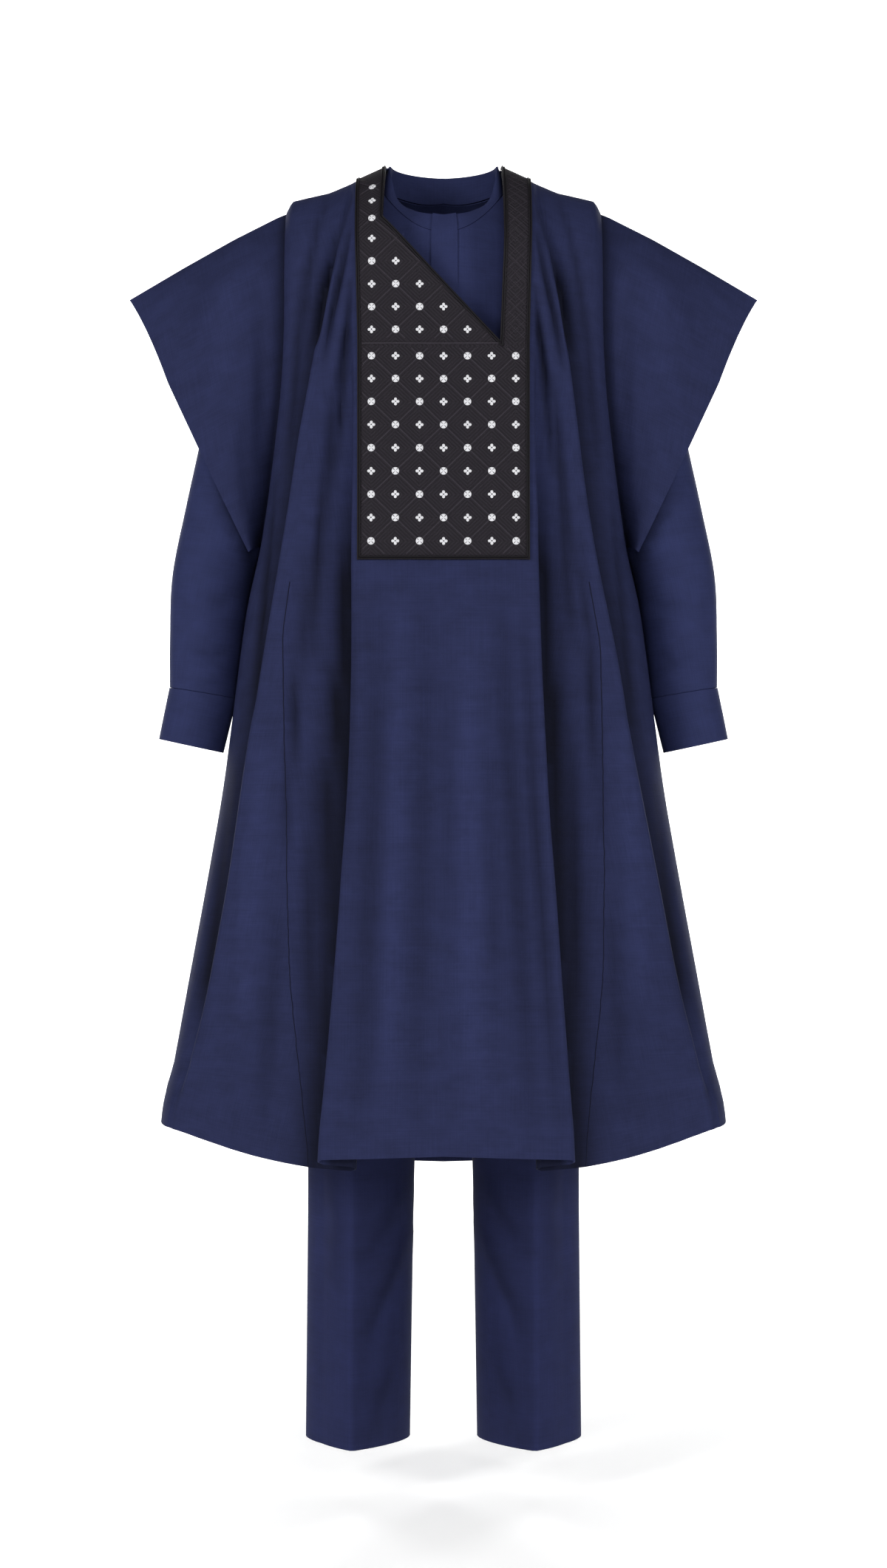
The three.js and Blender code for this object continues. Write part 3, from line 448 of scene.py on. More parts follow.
def grid_normals(points, quads):
    """Rounded unit normals of the points. Edges on the middle plane meet their neighbour squarely."""
    across = points[quads[:, 2]] - points[quads[:, 0]]
    up = points[quads[:, 3]] - points[quads[:, 1]]
    face = np.cross(across, up)
    face /= np.maximum(np.linalg.norm(face, axis=1, keepdims=True), 1e-12)
    normals = np.zeros_like(points)
    for corner in range(4):
        np.add.at(normals, quads[:, corner], face)
    normals[np.abs(points[:, 1]) < 0.0005, 1] = 0
    return normals / np.maximum(np.linalg.norm(normals, axis=1, keepdims=True), 1e-12)


def thread_map(grid):
    """Distance along the rows and down the columns of a grid."""
    along = np.linalg.norm(np.diff(grid, axis=1), axis=2)
    down = np.linalg.norm(np.diff(grid, axis=0), axis=2)
    u = np.concatenate([np.zeros((len(grid), 1)), np.cumsum(along, axis=1)], axis=1)
    v = np.concatenate([np.zeros((1, grid.shape[1])), np.cumsum(down, axis=0)], axis=0)
    middle = grid.shape[1] // 2
    level = np.broadcast_to(v.mean(axis=1, keepdims=True), u.shape)
    return np.stack([u - u[:, middle:middle + 1], level], axis=-1)


def rim_quads(faces, shift):
    """Quads that join every free edge of the outer side to the same edge of the inner one."""
    sides = np.concatenate([faces[:, [k, (k + 1) % 4]] for k in range(4)])
    keys = {tuple(edge) for edge in sides}
    free = [edge for edge in map(tuple, sides) if (edge[1], edge[0]) not in keys]
    free = np.array(free).reshape(-1, 2)
    return np.column_stack([free[:, 1], free[:, 0], free[:, 0] + shift, free[:, 1] + shift])


def add_threads(mesh, threads):
    """Stores a place along both threads for each point as the map called cut."""
    corners = np.zeros(len(mesh.loops), int)
    mesh.loops.foreach_get("vertex_index", corners)
    mesh.uv_layers.new(name="cut").data.foreach_set("uv", threads[corners].ravel())


def cloth_wall(name, grid, thickness, material, closed=False, flip=False, keep=None, lift=0.0, offset=None,
               cut=None, weld=None, painted_shade=None):
    """A cloth piece as a thin closed shell over a grid of outer points. Weld sends points to twins.
    Painted shade is how much each point's colour is darkened, mostly from 0 to 1 and deepest in a fold;
    below 0 it is a painted highlight."""
    rows, columns = grid.shape[:2]
    quads = quad_list(rows, columns, closed, flip, keep)
    if weld is not None:
        quads = weld[quads]
    points = grid.reshape(-1, 3).copy()
    normals = grid_normals(points, quads)
    if offset is not None:
        points += normals * offset.reshape(-1, 1)
        normals = grid_normals(points, quads)
    used = np.unique(quads)
    place = np.full(len(points), -1)
    place[used] = np.arange(len(used))
    outer = points[used] + normals[used] * lift
    inner = outer - normals[used] * thickness
    faces = place[quads]
    shift = len(used)
    everything = np.concatenate([faces, faces[:, ::-1] + shift, rim_quads(faces, shift)])
    mesh = bpy.data.meshes.new(name)
    mesh.from_pydata(np.concatenate([outer, inner]).tolist(), [], everything.tolist())
    threads = (thread_map(grid) if cut is None else cut).reshape(-1, 2)[used]
    add_threads(mesh, np.concatenate([threads, threads]))
    # The painted shade is kept on the points, and the suiting darkens its colour by it
    if painted_shade is not None:
        depth = np.broadcast_to(painted_shade, grid.shape[:2]).reshape(-1)[used]
        shade = mesh.attributes.new("painted_shade", "FLOAT", "POINT")
        shade.data.foreach_set("value", np.concatenate([depth, depth]))
    mesh.shade_smooth()
    mesh.set_sharp_from_angle(angle=SHARP_ANGLE)
    mesh.materials.append(material)
    piece = bpy.data.objects.new(name, mesh)
    bpy.context.scene.collection.objects.link(piece)
    return piece


def dress(piece, nodes):
    """The piece stands for CAD nodes and moves with the part."""
    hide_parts(*nodes)
    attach(piece, "root")
    return piece

# %% [markdown]
# ## Finishes
# All three garments are one suiting: a plain weave with uneven threads, so the surface shows a
# faint slub along both threads and hardly any shine. A picture of cloth could be laid on, but
# a few wave and noise textures in one shared group give the same with no image. The group reads
# the "cut" map and the painted shade kept on each point, and gives out a colour darkened by it, a
# roughness and a normal.

# %% Shader helpers
def socket(group, name, kind, inward, default=None):
    """Adds a socket to a node group."""
    made = group.interface.new_socket(name=name, in_out="INPUT" if inward else "OUTPUT", socket_type=kind)
    if default is not None:
        made.default_value = default
    return made


def math_node(nodes, links, operation, first, second=None, third=None):
    """A math node fed by sockets or numbers."""
    node = nodes.new("ShaderNodeMath")
    node.operation = operation
    for slot_number, value in enumerate((first, second, third)):
        if value is None:
            continue
        if isinstance(value, (int, float)):
            node.inputs[slot_number].default_value = value
        else:
            links.new(value, node.inputs[slot_number])
    return node.outputs[0]


def noise_node(nodes, links, place, scale, detail=2.0, roughness=0.5):
    """A noise read at a place."""
    node = nodes.new("ShaderNodeTexNoise")
    node.inputs["Scale"].default_value = scale
    node.inputs["Detail"].default_value = detail
    node.inputs["Roughness"].default_value = roughness
    links.new(place, node.inputs["Vector"])
    return node.outputs["Fac"]


def stretched(nodes, links, place, scale):
    """A place scaled on its own along each thread."""
    node = nodes.new("ShaderNodeMapping")
    node.inputs["Scale"].default_value = scale
    links.new(place, node.inputs["Vector"])
    return node.outputs["Vector"]


def sine_of(nodes, links, value, pace):
    """A wave along a value."""
    return math_node(nodes, links, "SINE", math_node(nodes, links, "MULTIPLY", value, pace))


def shaded(nodes, links, colour, factor):
    """A colour made lighter or darker."""
    node = nodes.new("ShaderNodeVectorMath")
    node.operation = "SCALE"
    links.new(colour, node.inputs[0])
    links.new(factor, node.inputs["Scale"])
    return node.outputs["Vector"]


def relief(nodes, links, height, distance, strength):
    """The normal of a fine relief."""
    node = nodes.new("ShaderNodeBump")
    node.inputs["Distance"].default_value = distance
    if isinstance(strength, float):
        node.inputs["Strength"].default_value = strength
    else:
        links.new(strength, node.inputs["Strength"])
    links.new(height, node.inputs["Height"])
    return node.outputs["Normal"]


def finish_group(name, inputs):
    """A group on the cut map that gives a colour, a roughness and a normal."""
    group = bpy.data.node_groups.new(name, "ShaderNodeTree")
    for label, kind, default in inputs:
        socket(group, label, kind, True, default)
    socket(group, "Colour", "NodeSocketColor", False)
    socket(group, "Roughness", "NodeSocketFloat", False)
    socket(group, "Normal", "NodeSocketVector", False)
    given = group.nodes.new("NodeGroupInput")
    result = group.nodes.new("NodeGroupOutput")
    cut = group.nodes.new("ShaderNodeUVMap")
    cut.uv_map = "cut"
    split = group.nodes.new("ShaderNodeSeparateXYZ")
    group.links.new(cut.outputs["UV"], split.inputs[0])
    return group, given.outputs, result.inputs, cut.outputs["UV"], split.outputs


def linear(red, green, blue):
    """A colour measured on a screen, 0 to 255, as linear light."""
    return tuple((v / 255 / 12.92) if v / 255 <= 0.04045 else ((v / 255 + 0.055) / 1.055) ** 2.4
                 for v in (red, green, blue)) + (1.0,)


# %% Suiting group
# How much the painted shade darkens the colour at a value of 1
HOLLOW_SHADE = 0.68
THREADS_A_METRE = 1500
ALONG_WEFT = (14, 900, 1)
ALONG_WARP = (900, 14, 1)
CLOUDS = (30, 46, 1)


def suiting_group():
    """Slub threads, soft clouds, the weave's relief, and painted shade that darkens the colour in the
    hollows.
    """
    group, given, result, place, split = finish_group("suiting", (
        ("Colour", "NodeSocketColor", (0.03, 0.03, 0.1, 1)),
        ("Slub", "NodeSocketFloat", 0.1),
        ("Weave depth", "NodeSocketFloat", 0.3),
    ))
    nodes, links = group.nodes, group.links
    weft = noise_node(nodes, links, stretched(nodes, links, place, ALONG_WEFT), 1.0, 3.0, 0.6)
    warp = noise_node(nodes, links, stretched(nodes, links, place, ALONG_WARP), 1.0, 3.0, 0.6)
    cloudy = noise_node(nodes, links, stretched(nodes, links, place, CLOUDS), 1.0, 4.0, 0.65)
    threads = math_node(nodes, links, "ADD", weft, warp)
    mottle = math_node(nodes, links, "MULTIPLY_ADD", cloudy, 1.6, threads)
    swing = math_node(nodes, links, "SUBTRACT", mottle, 1.8)
    strength = math_node(nodes, links, "MULTIPLY", swing, given["Slub"])
    factor = math_node(nodes, links, "ADD", strength, 1.0)
    # Painted shade: the colour is darkened by the value kept on each point
    painted_shade = nodes.new("ShaderNodeAttribute")
    painted_shade.attribute_name = "painted_shade"
    depth = math_node(nodes, links, "MULTIPLY_ADD", painted_shade.outputs["Fac"], -HOLLOW_SHADE, 1.0)
    factor = math_node(nodes, links, "MULTIPLY", factor, depth)
    links.new(shaded(nodes, links, given["Colour"], factor), result["Colour"])
    links.new(math_node(nodes, links, "MULTIPLY_ADD", cloudy, 0.14, 0.76), result["Roughness"])
    over = sine_of(nodes, links, split["X"], math.pi * THREADS_A_METRE)
    under = sine_of(nodes, links, split["Y"], math.pi * THREADS_A_METRE)
    weave = math_node(nodes, links, "MULTIPLY", over, under)
    height = math_node(nodes, links, "MULTIPLY_ADD", weave, 0.25, threads)
    links.new(relief(nodes, links, height, 0.0004, given["Weave depth"]), result["Normal"])
    return group


suiting = suiting_group()
print("the suiting group has", len(suiting.nodes), "nodes")


# %% Suiting of each garment
def new_material(name):
    """A material with nodes, and its main shader."""
    material = bpy.data.materials.new(name)
    material.use_nodes = True
    return material, material.node_tree.nodes["Principled BSDF"]


def finished(name, group, values, specular):
    """A material that wears one of the groups with its own values."""
    material, shader = new_material(name)
    nodes, links = material.node_tree.nodes, material.node_tree.links
    effect = nodes.new("ShaderNodeGroup")
    effect.node_tree = group
    for label, value in values.items():
        effect.inputs[label].default_value = value
    for label, target in (("Colour", "Base Color"), ("Roughness", "Roughness"), ("Normal", "Normal")):
        links.new(effect.outputs[label], shader.inputs[target])
    shader.inputs["Specular IOR Level"].default_value = specular
    return material


def suiting_material(name, colour, slub, weave_depth):
    """The suiting in one garment's shade."""
    return finished(name, suiting, {"Colour": colour, "Slub": slub, "Weave depth": weave_depth}, 0.12)


NAVY = linear(44, 50, 87)
ROBE_NAVY = linear(39, 44, 77)
DARKER_NAVY = linear(38, 43, 79)
robe_cloth = suiting_material("robe_suiting", ROBE_NAVY, 0.40, 0.35)
shirt_cloth = suiting_material("shirt_suiting", NAVY, 0.32, 0.35)
trouser_cloth = suiting_material("trouser_suiting", DARKER_NAVY, 0.34, 0.25)
print("suiting colours", [round(v, 3) for v in NAVY[:3]])

# %% [markdown]
# ## Robe: middle panels and side panels
# A maker joins a middle panel and two side gores with long seams, front and back. Each becomes a
# piece of its own, split at the seam's column. Where the neck is cut out, the quads inside the
# outline are left away: the worked panel covers that edge from above.

# %% Neck outlines
ROBE_THICKNESS = 0.0016
NECK_SIDE = 64.6
# A little wider than the opening that shows, so that no blue lies beyond the worked panel's edge
NECK_OUTLINE = [(-NECK_SIDE, 40), (-66.5, -20), (-69, -66), (64.5, -212), (69, -85), (67.5, -20),
                (NECK_SIDE, 40)]
BACK_NECK_EDGE = [(-NECK_SIDE, 4), (-50, -3), (-25, -8), (0, -10), (25, -8), (50, -3), (NECK_SIDE, 4)]
NECKS = {"front": NECK_OUTLINE, "back": [(-NECK_SIDE, 40), *BACK_NECK_EDGE, (NECK_SIDE, 40)]}
NECK_MARGIN = 1.0


def both_halves(pair, last):
    """Columns of the left half and the right half joined at the centre line."""
    return np.concatenate([pair[-1][:, last:0:-1], pair[1][:, :last + 1]], axis=1)


def inside(outline, x, z):
    """Which front-view points lie inside an outline."""
    hit = np.zeros(np.shape(x), bool)
    for (x1, z1), (x2, z2) in zip(outline, outline[1:] + outline[:1]):
        if z1 == z2:
            continue
        crosses = (z1 > z) != (z2 > z)
        hit ^= crosses & (x < x1 + (z - z1) * (x2 - x1) / (z2 - z1))
    return hit


def quads_outside(grid, outline):
    """Keeps the quads of a grid whose middle isn't inside the outline, drawn from the front."""
    middle = (grid[:-1, :-1] + grid[1:, 1:]) / 2 / MM
    return ~inside(outline, middle[..., 0], middle[..., 2] - NECK_MARGIN)


# %% Robe creases
# Each: spots on the front view, width, height
V_FOLDS = [
    ([(-100, -22), (-110, -52), (-121, -92), (-134, -150), (-143, -210)], 4.2, -5.0),
    ([(-103, -70), (-112, -112), (-124, -168), (-134, -230)], 3.8, -4.2),
    ([(-105, -30), (-117, -72), (-129, -120)], 5, 2.4),
    ([(-128, -22), (-140, -60), (-152, -120), (-158, -190)], 4.5, -2.6),
    ([(-101, -130), (-108, -190), (-119, -262)], 4, -3.4),
]
SIDE_STREAKS = [
    ([(-104, -180), (-112, -262), (-122, -372)], 4.5, -3.2),
    ([(-122, -250), (-133, -392), (-146, -560)], 4.5, -4.2),
    ([(-113, -330), (-119, -470), (-125, -620)], 5, 1.8),
    ([(-106, -420), (-114, -540), (-128, -700), (-133, -850)], 5, -2.6),
    ([(-150, -420), (-164, -600), (-178, -780)], 6, -3.4),
    ([(-140, -640), (-147, -800), (-150, -980)], 7, -2.4),
    ([(-196, -640), (-212, -800), (-222, -960)], 12, 2.2),
    ([(-182, -820), (-192, -950), (-200, -1080)], 10, -1.8),
]
OUTER_STREAKS = [
    ([(-158, -110), (-166, -220), (-176, -330)], 5, -2.4),
    ([(-190, -340), (-203, -480), (-214, -620)], 5, -2.8),
    ([(-236, -640), (-256, -820), (-276, -990)], 8, -2.0),
]
PANEL_CREASES = [
    ([(-76, -470), (-74, -640), (-82, -860), (-92, -1080)], 15, -1.9),
    ([(-48, -480), (-52, -700), (-58, -900), (-64, -1085)], 12, 1.5),
    ([(-18, -470), (-20, -620), (-24, -820), (-30, -1070)], 12, -1.5),
    ([(26, -500), (29, -720), (32, -930), (34, -1085)], 16, 1.6),
    ([(62, -465), (70, -640), (82, -830), (96, -1085)], 11, -2.2),
    ([(88, -500), (98, -700), (112, -900), (126, -1080)], 7, -2.6),
    ([(44, -640), (52, -790), (58, -960)], 9, -1.2),
    ([(-98, -460), (-100, -600), (-106, -790)], 6, -1.6),
    ([(2, -560), (6, -700), (4, -860)], 8, -0.8),
]
BACK_CREASES = [
    ([(-58, -60), (-62, -300), (-60, -620), (-70, -1140)], 16, -3.0),
    ([(10, -140), (4, -420), (8, -760), (2, -1140)], 20, -3.2),
    ([(66, -90), (60, -380), (70, -700), (74, -1140)], 15, -2.8),
    ([(36, -220), (34, -560), (40, -980)], 13, 2.0),
]
ROBE_CREASES = (
    V_FOLDS + mirrored(V_FOLDS, -6, 0.85) + SIDE_STREAKS + mirrored(SIDE_STREAKS, 14, 0.9)
    + OUTER_STREAKS + mirrored(OUTER_STREAKS, -18, 0.85) + PANEL_CREASES,
    weaker(mirrored(SIDE_STREAKS, -30), 0.8) + weaker(SIDE_STREAKS, 0.7) + weaker(BACK_CREASES, 0.8),
)
print("creases on the front and the back:", [len(creases) for creases in ROBE_CREASES])


# %% Robe panels with their creases
YOKE_CLEAR = dict(across=96, across_fade=9, height=-449, height_fade=16)
# Painted shade under a laid fold, the darkest painted shade in all, and the overlap in millimetres at
# which a fold gets its full painted shade beside it
UNDER_FOLD_SHADE = 0.9
DARKEST_PAINTED_SHADE = 1.2
FULLY_LAID = 7
# Width in millimetres and strength of the painted shade beside each kind of fold
PANEL_FOLD_SHADE = (24, 1.15)
SIDE_FOLD_SHADE = (17, 0.85)


def edge_fade(grid, over):
    """1 inside a grid and 0 along its two sides, so that creases don't open the seams."""
    columns = np.arange(grid.shape[1])
    return np.broadcast_to(eased(columns / over) * eased(columns[::-1] / over), grid.shape[:2])


def off_the_yoke(points):
    """0 where the worked panel lies on the front, 1 away from it."""
    clear = YOKE_CLEAR
    across = eased((np.abs(points[..., 0]) / MM - clear["across"]) / clear["across_fade"])
    below = eased((clear["height"] - points[..., 2] / MM) / clear["height_fade"])
    return np.maximum(across, below)


def creased(grid, creases, fade, flip):
    """The grid with its creases pressed in along its normals, and the painted shade from how deep each
    point lies.
    """
    quads = quad_list(*grid.shape[:2], False, flip, None)
    normals = grid_normals(grid.reshape(-1, 3), quads).reshape(grid.shape)
    offset = crease_offset(grid, *creases) * fade
    return grid + normals * offset[..., None], painted_crease_shade(offset)


def shade_beside_fold(full, opens, closes, width, strength):
    """Painted shade beside a laid fold's edge: under it, and in the hollow outside it."""
    centre = MARKS["edge"]
    shade = np.zeros(full.shape[:2])
    for side in SIDES:
        columns = centre + side * np.arange(centre + 1)
        across = side * full[:, columns, 0] / MM
        edge = across[:, opens:closes + 1].max(axis=1, keepdims=True)
        laid = np.clip((edge - across[:, closes:closes + 1]) / FULLY_LAID, 0, 1)
        past = across - edge
        depth = np.where(past > 0, strength * np.exp(-((past / width) ** 2)), UNDER_FOLD_SHADE)
        depth[:, :(opens + closes) // 2] = 0
        shade[:, columns] += laid * depth
    return shade


robe_faces, robe_painted_shade = {}, {}
for face_name, pair in halves.items():
    full = both_halves(pair, MARKS["edge"])
    fade = edge_fade(full, 6)
    if face_name == "front":
        fade = fade * off_the_yoke(full)
    # depth holds painted shade here: from the creases, under each laid fold and in the hollow beside it
    robe_faces[face_name], depth = creased(full, ROBE_CREASES, fade, face_name == "back")
    depth = depth + shade_beside_fold(full, MARKS["panel_in"], MARKS["panel_out"], *PANEL_FOLD_SHADE)
    depth += shade_beside_fold(full, MARKS["side_in"], MARKS["side_out"], *SIDE_FOLD_SHADE)
    robe_painted_shade[face_name] = np.clip(depth, RIDGE_SHADE, DARKEST_PAINTED_SHADE)
centre = MARKS["edge"]
middle_columns = slice(centre - MARKS["seam"], centre + MARKS["seam"] + 1)
side_columns = {-1: slice(0, centre - MARKS["seam"] + 1), 1: slice(centre + MARKS["seam"], None)}


def robe_piece(name, node, face_name, columns, outline=None):
    """Some columns of a robe face as a piece of cloth."""
    grid = robe_faces[face_name][:, columns]
    keep = None if outline is None else quads_outside(grid, outline)
    piece = cloth_wall(name, grid, ROBE_THICKNESS, robe_cloth, flip=face_name == "back", keep=keep,
                       painted_shade=robe_painted_shade[face_name][:, columns])
    return dress(piece, [node])


for face_name in FACES:
    robe_piece(f"{face_name}_panel", f"robe_{face_name}", face_name, middle_columns, NECKS[face_name])
    for side, word in SIDES.items():
        robe_piece(f"side_{face_name}_{word}", f"robe_side_{face_name}_{word}", face_name,
                   side_columns[side])

# %% [markdown]
# The long seams show as thin dark lines of shade. They could be painted by the material, but their place
# is known here as a column of the grid, so its points are kept for a fine dark tube that is laid
# along them further on, when the tubes are made, as a painted shadow in each seam.

# %% Seam lines
SEAM_HEIGHTS = {"front": (-1130, -470), "back": (-1160, -130)}


def seam_path(face_name, column, low, high):
    """Places and normals down one column of a robe face, between two heights in millimetres."""
    line = robe_faces[face_name][:, column]
    aside = robe_faces[face_name][:, column + 1]
    rows = (line[:, 2] / MM < high) & (line[:, 2] / MM > low)
    normal = np.cross(np.gradient(line, axis=0), aside - line)
    normal *= FACES[face_name]["sign"] * np.sign(normal[:, 1:2])
    normal /= np.maximum(np.linalg.norm(normal, axis=1, keepdims=True), 1e-12)
    return line[rows], normal[rows]


seam_paths = [seam_path(face_name, centre + side * MARKS["seam"], *SEAM_HEIGHTS[face_name])
              for side in SIDES for face_name in FACES]
print("seam lines", len(seam_paths))

# %% [markdown]
# ## Robe: the wings
# On each side a wide sleeve is sewn to the armhole and stays open along its slanted outer edge.
# The arm goes through it, so it arches over the shoulder and falls in two leaves, front and back.

# %% Wide sleeves
WING_START = (177, -42)
WING_TIP = (361, -137)
WING_FOOT = (217.5, -439)
WING_RIDGE = [(177, -37), (190, -42), (241, -67.7), (300, -101), (361, -137)]
WING_MOUTH = [(213, 24), (231, 50), (250, 57), (275, 59), (300, 48), (330, 29), (350, 12), (361, 3)]
WING_SET_BACK = 4
WING_BELLY = 12
WING_ROUND = 70
WING_ROUND_ROWS = 13
WING_FALL = WING_START[1] + UNDERARM - 9
WING_STEP = 8
WING_LAST = 0.97
WING_OVERLAP = 2.2
WING_TOP_DEPTH = 1.8
# Painted shade on the sleeve where it comes out from under the robe's rolled side
ROLL_SHADE = 0.9
ROLL_SHADE_WIDTH = 8
WING_CREASES = [
    ([(-205, -120), (-207, -180), (-205, -250), (-211, -330)], 9, -2.2),
    ([(-238, -84), (-244, -150), (-246, -240)], 12, 1.8),
    ([(-268, -96), (-282, -150), (-296, -205)], 10, -1.6),
    ([(-300, -112), (-318, -140), (-334, -165)], 7, 1.2),
    ([(-222, -250), (-226, -320), (-222, -390)], 8, -1.4),
]
WING_CREASES += mirrored(WING_CREASES, -9, 0.85)


def wing_row(share, sign, side, columns):
    """One row of the sleeve, from the armhole out to the slanted edge."""
    fall = share * WING_FALL
    height_in = WING_START[1] - fall
    x_out, height_out = np.array(WING_TIP) + (np.array(WING_FOOT) - WING_TIP) * share
    x_in = max(smooth(SIDE_LINE, -height_in, 1) - WING_OVERLAP, WING_START[0])
    depth_in = straight(SIDE_LINE, -height_in, 2) * shoulder_curve(fall + 3, 2) - WING_SET_BACK
    depth_out = straight(WING_MOUTH, x_out, 1)
    clear = WING_SET_BACK / (x_out - x_in)
    past = np.maximum(columns - clear, 0) / (1 - clear)
    x = x_in + (x_out - x_in) * columns
    full = depth_in + (depth_out - depth_in) * past + WING_BELLY * np.sin(math.pi * past)
    straight_height = WING_START[1] + (WING_TIP[1] - WING_START[1]) * columns
    arch = np.interp(x, *zip(*WING_RIDGE)) - straight_height
    height = height_in + (height_out - height_in) * columns + arch * max(1 - share * 3, 0)
    rise = arched(min(fall / WING_ROUND, 1), 2)
    depth = np.maximum(full * rise, WING_TOP_DEPTH if share > 0 else 0)
    return np.column_stack([side * x, sign * depth, height])


def wing(side):
    """The whole sleeve: up the back leaf, over the shoulder and down the front leaf."""
    rounded = WING_ROUND * (1 - np.cos(np.linspace(0, math.pi / 2, WING_ROUND_ROWS)))
    hanging = np.arange(WING_ROUND + WING_STEP, 0.968 * WING_FALL, WING_STEP)
    shares = np.append(np.concatenate([rounded, hanging]) / WING_FALL, WING_LAST)
    columns = np.concatenate([np.linspace(0, 0.12, 6), np.linspace(0.16, 1, 26)])
    front = [wing_row(share, -1, side, columns) for share in shares]
    back = [wing_row(share, 1, side, columns) for share in shares[1:]]
    grid = np.array(back[::-1] + front) * MM
    offset = crease_offset(grid, WING_CREASES, weaker(WING_CREASES, 0.9)) * eased(columns / 0.2)
    # Painted shade: part of the creases' own, and a dark band on the sleeve just outside the robe's roll
    from_roll = np.maximum(np.abs(grid[..., 0] - grid[:, :1, 0]) / MM - WING_OVERLAP, 0)
    painted_shade = 0.45 * painted_crease_shade(offset) + ROLL_SHADE * np.exp(-((from_roll / ROLL_SHADE_WIDTH) ** 2))
    piece = cloth_wall(f"wing_{SIDES[side]}", grid, ROBE_THICKNESS, robe_cloth, flip=side < 0,
                       offset=offset, painted_shade=np.clip(painted_shade, RIDGE_SHADE, 1))
    return dress(piece, [f"robe_sleeve_{SIDES[side]}"])


for side in SIDES:
    wing(side)

# %% [markdown]
# ## Shirt body
# The shirt shows through the neck opening and under the wings. Its body is a front and a back with
# a cut-out for the neck and an armhole at each side, so each is a shell over one grid whose side
# columns follow the armhole's edge.

# %% Shirt tables and body
SHIRT_THICKNESS = 0.0014
# By face, -1 for the front: ridge as x and height, then the round's height and power
SHIRT_RIDGE = [(72, -14), (115, -13), (132, -19.2), (158, -25), (180, -30)]
SHIRT_RIDGES = {-1: [(0, -4)] + SHIRT_RIDGE, 1: [(0, 2)] + SHIRT_RIDGE}
SHIRT_SHOULDERS = {-1: (150, 2), 1: (120, 3)}
# Down, half width, front depth, back depth
SHIRT_SECTIONS = [
    (0, 172, 90, 84), (100, 172, 96, 92), (150, 171, 102, 98), (200, 170, 108, 102), (300, 168, 110, 106),
    (450, 172, 112, 108), (600, 184, 120, 120), (760, 198, 134, 138),
]
SHIRT_ARMHOLE = [(0, 158), (80, 156), (130, 157), (170, 163), (192, 170.3), (200, 400)]
SHIRT_HEM = 760
SHIRT_STEP = 10
SHIRT_COLUMNS = 61
# Middle, half width and half depth of the neck's hole, seen from above
NECK_HOLE = (-10, 70, 70)


def shirt_reach(down):
    """Half width of the shirt, and the angle round it at which its front ends."""
    half_width = straight(SHIRT_SECTIONS, down, 1)
    return half_width, math.asin(min(straight(SHIRT_ARMHOLE, down, 1) / half_width, 1))


def shirt_point(share, down, sign):
    """A point of the shirt's outer side, in millimetres; share runs from -1 to 1 across."""
    half_width, reach = shirt_reach(down)
    depth = smooth(SHIRT_SECTIONS, down, 2 if sign < 0 else 3)
    angle = share * reach
    x = half_width * math.sin(angle)
    height, power = SHIRT_SHOULDERS[sign]
    curve = arched(min(down / height, 1), power)
    ridge = straight(SHIRT_RIDGES[sign], abs(x), 1) * max(1 - down / RIDGE_FADE, 0)
    return np.array([x, sign * max(depth * math.cos(angle) * curve, EDGE_DEPTH), ridge - down])


def shirt_spot(x, down, sign):
    """The same point from its place across."""
    half_width, reach = shirt_reach(down)
    return shirt_point(math.asin(x / half_width) / reach, down, sign)


def shirt_height(x, y):
    """Height of the shirt's outer side over a point of the plan near the neck, by halving."""
    low, high = 0.0, 150.0
    for _ in range(30):
        down = (low + high) / 2
        probe = shirt_spot(abs(x), down, -1 if y < 0 else 1)
        if abs(probe[1]) < abs(y):
            low = down
        else:
            high = down
    return probe[2]


def shirt_drops(height):
    """Distances down the shirt: close together over the shoulder's round, then even."""
    rounded = height * (1 - np.cos(np.linspace(0, math.pi / 2, 13)))
    hanging = np.arange(height + SHIRT_STEP, SHIRT_HEM, SHIRT_STEP)
    return np.concatenate([rounded, hanging, [SHIRT_HEM]])


SHIRT_CREASES = [
    ([(-150, -205), (-120, -240), (-84, -262)], 10, -2.0),
    ([(-152, -240), (-118, -290), (-90, -330)], 11, 1.6),
    ([(-60, -420), (-64, -560), (-58, -740)], 14, -2.4),
    ([(72, -430), (80, -590), (76, -745)], 15, -2.4),
    ([(128, -400), (136, -560), (140, -740)], 13, 2.2),
]
SHIRT_BACK_CREASES = weaker(mirrored(SHIRT_CREASES, -12), 0.9)
SHIRT_CREASES += mirrored(SHIRT_CREASES[:2], -8, 0.9)


def from_neck(points):
    """Distance of points from the neck hole's middle seen from above; the hole's edge is at 1."""
    middle, half_width, half_depth = NECK_HOLE
    return np.hypot(points[..., 0] / half_width, (points[..., 1] - middle) / half_depth)


def cut_neck(grid):
    """Draws the points just inside the neck hole out to its edge, and tells which quads stay."""
    reach = from_neck(grid)
    outside = reach >= 1
    stay = outside[:-1, :-1] | outside[1:, :-1] | outside[:-1, 1:] | outside[1:, 1:]
    touched = np.zeros(grid.shape[:2], bool)
    for rows in (slice(None, -1), slice(1, None)):
        for columns in (slice(None, -1), slice(1, None)):
            touched[rows, columns] |= stay
    for row, column in zip(*np.nonzero(touched & ~outside)):
        x, y = grid[row, column, :2]
        scale = 1 / reach[row, column]
        x, y = x * scale, NECK_HOLE[0] + (y - NECK_HOLE[0]) * scale
        grid[row, column] = (x, y, shirt_height(x, y))
    return stay


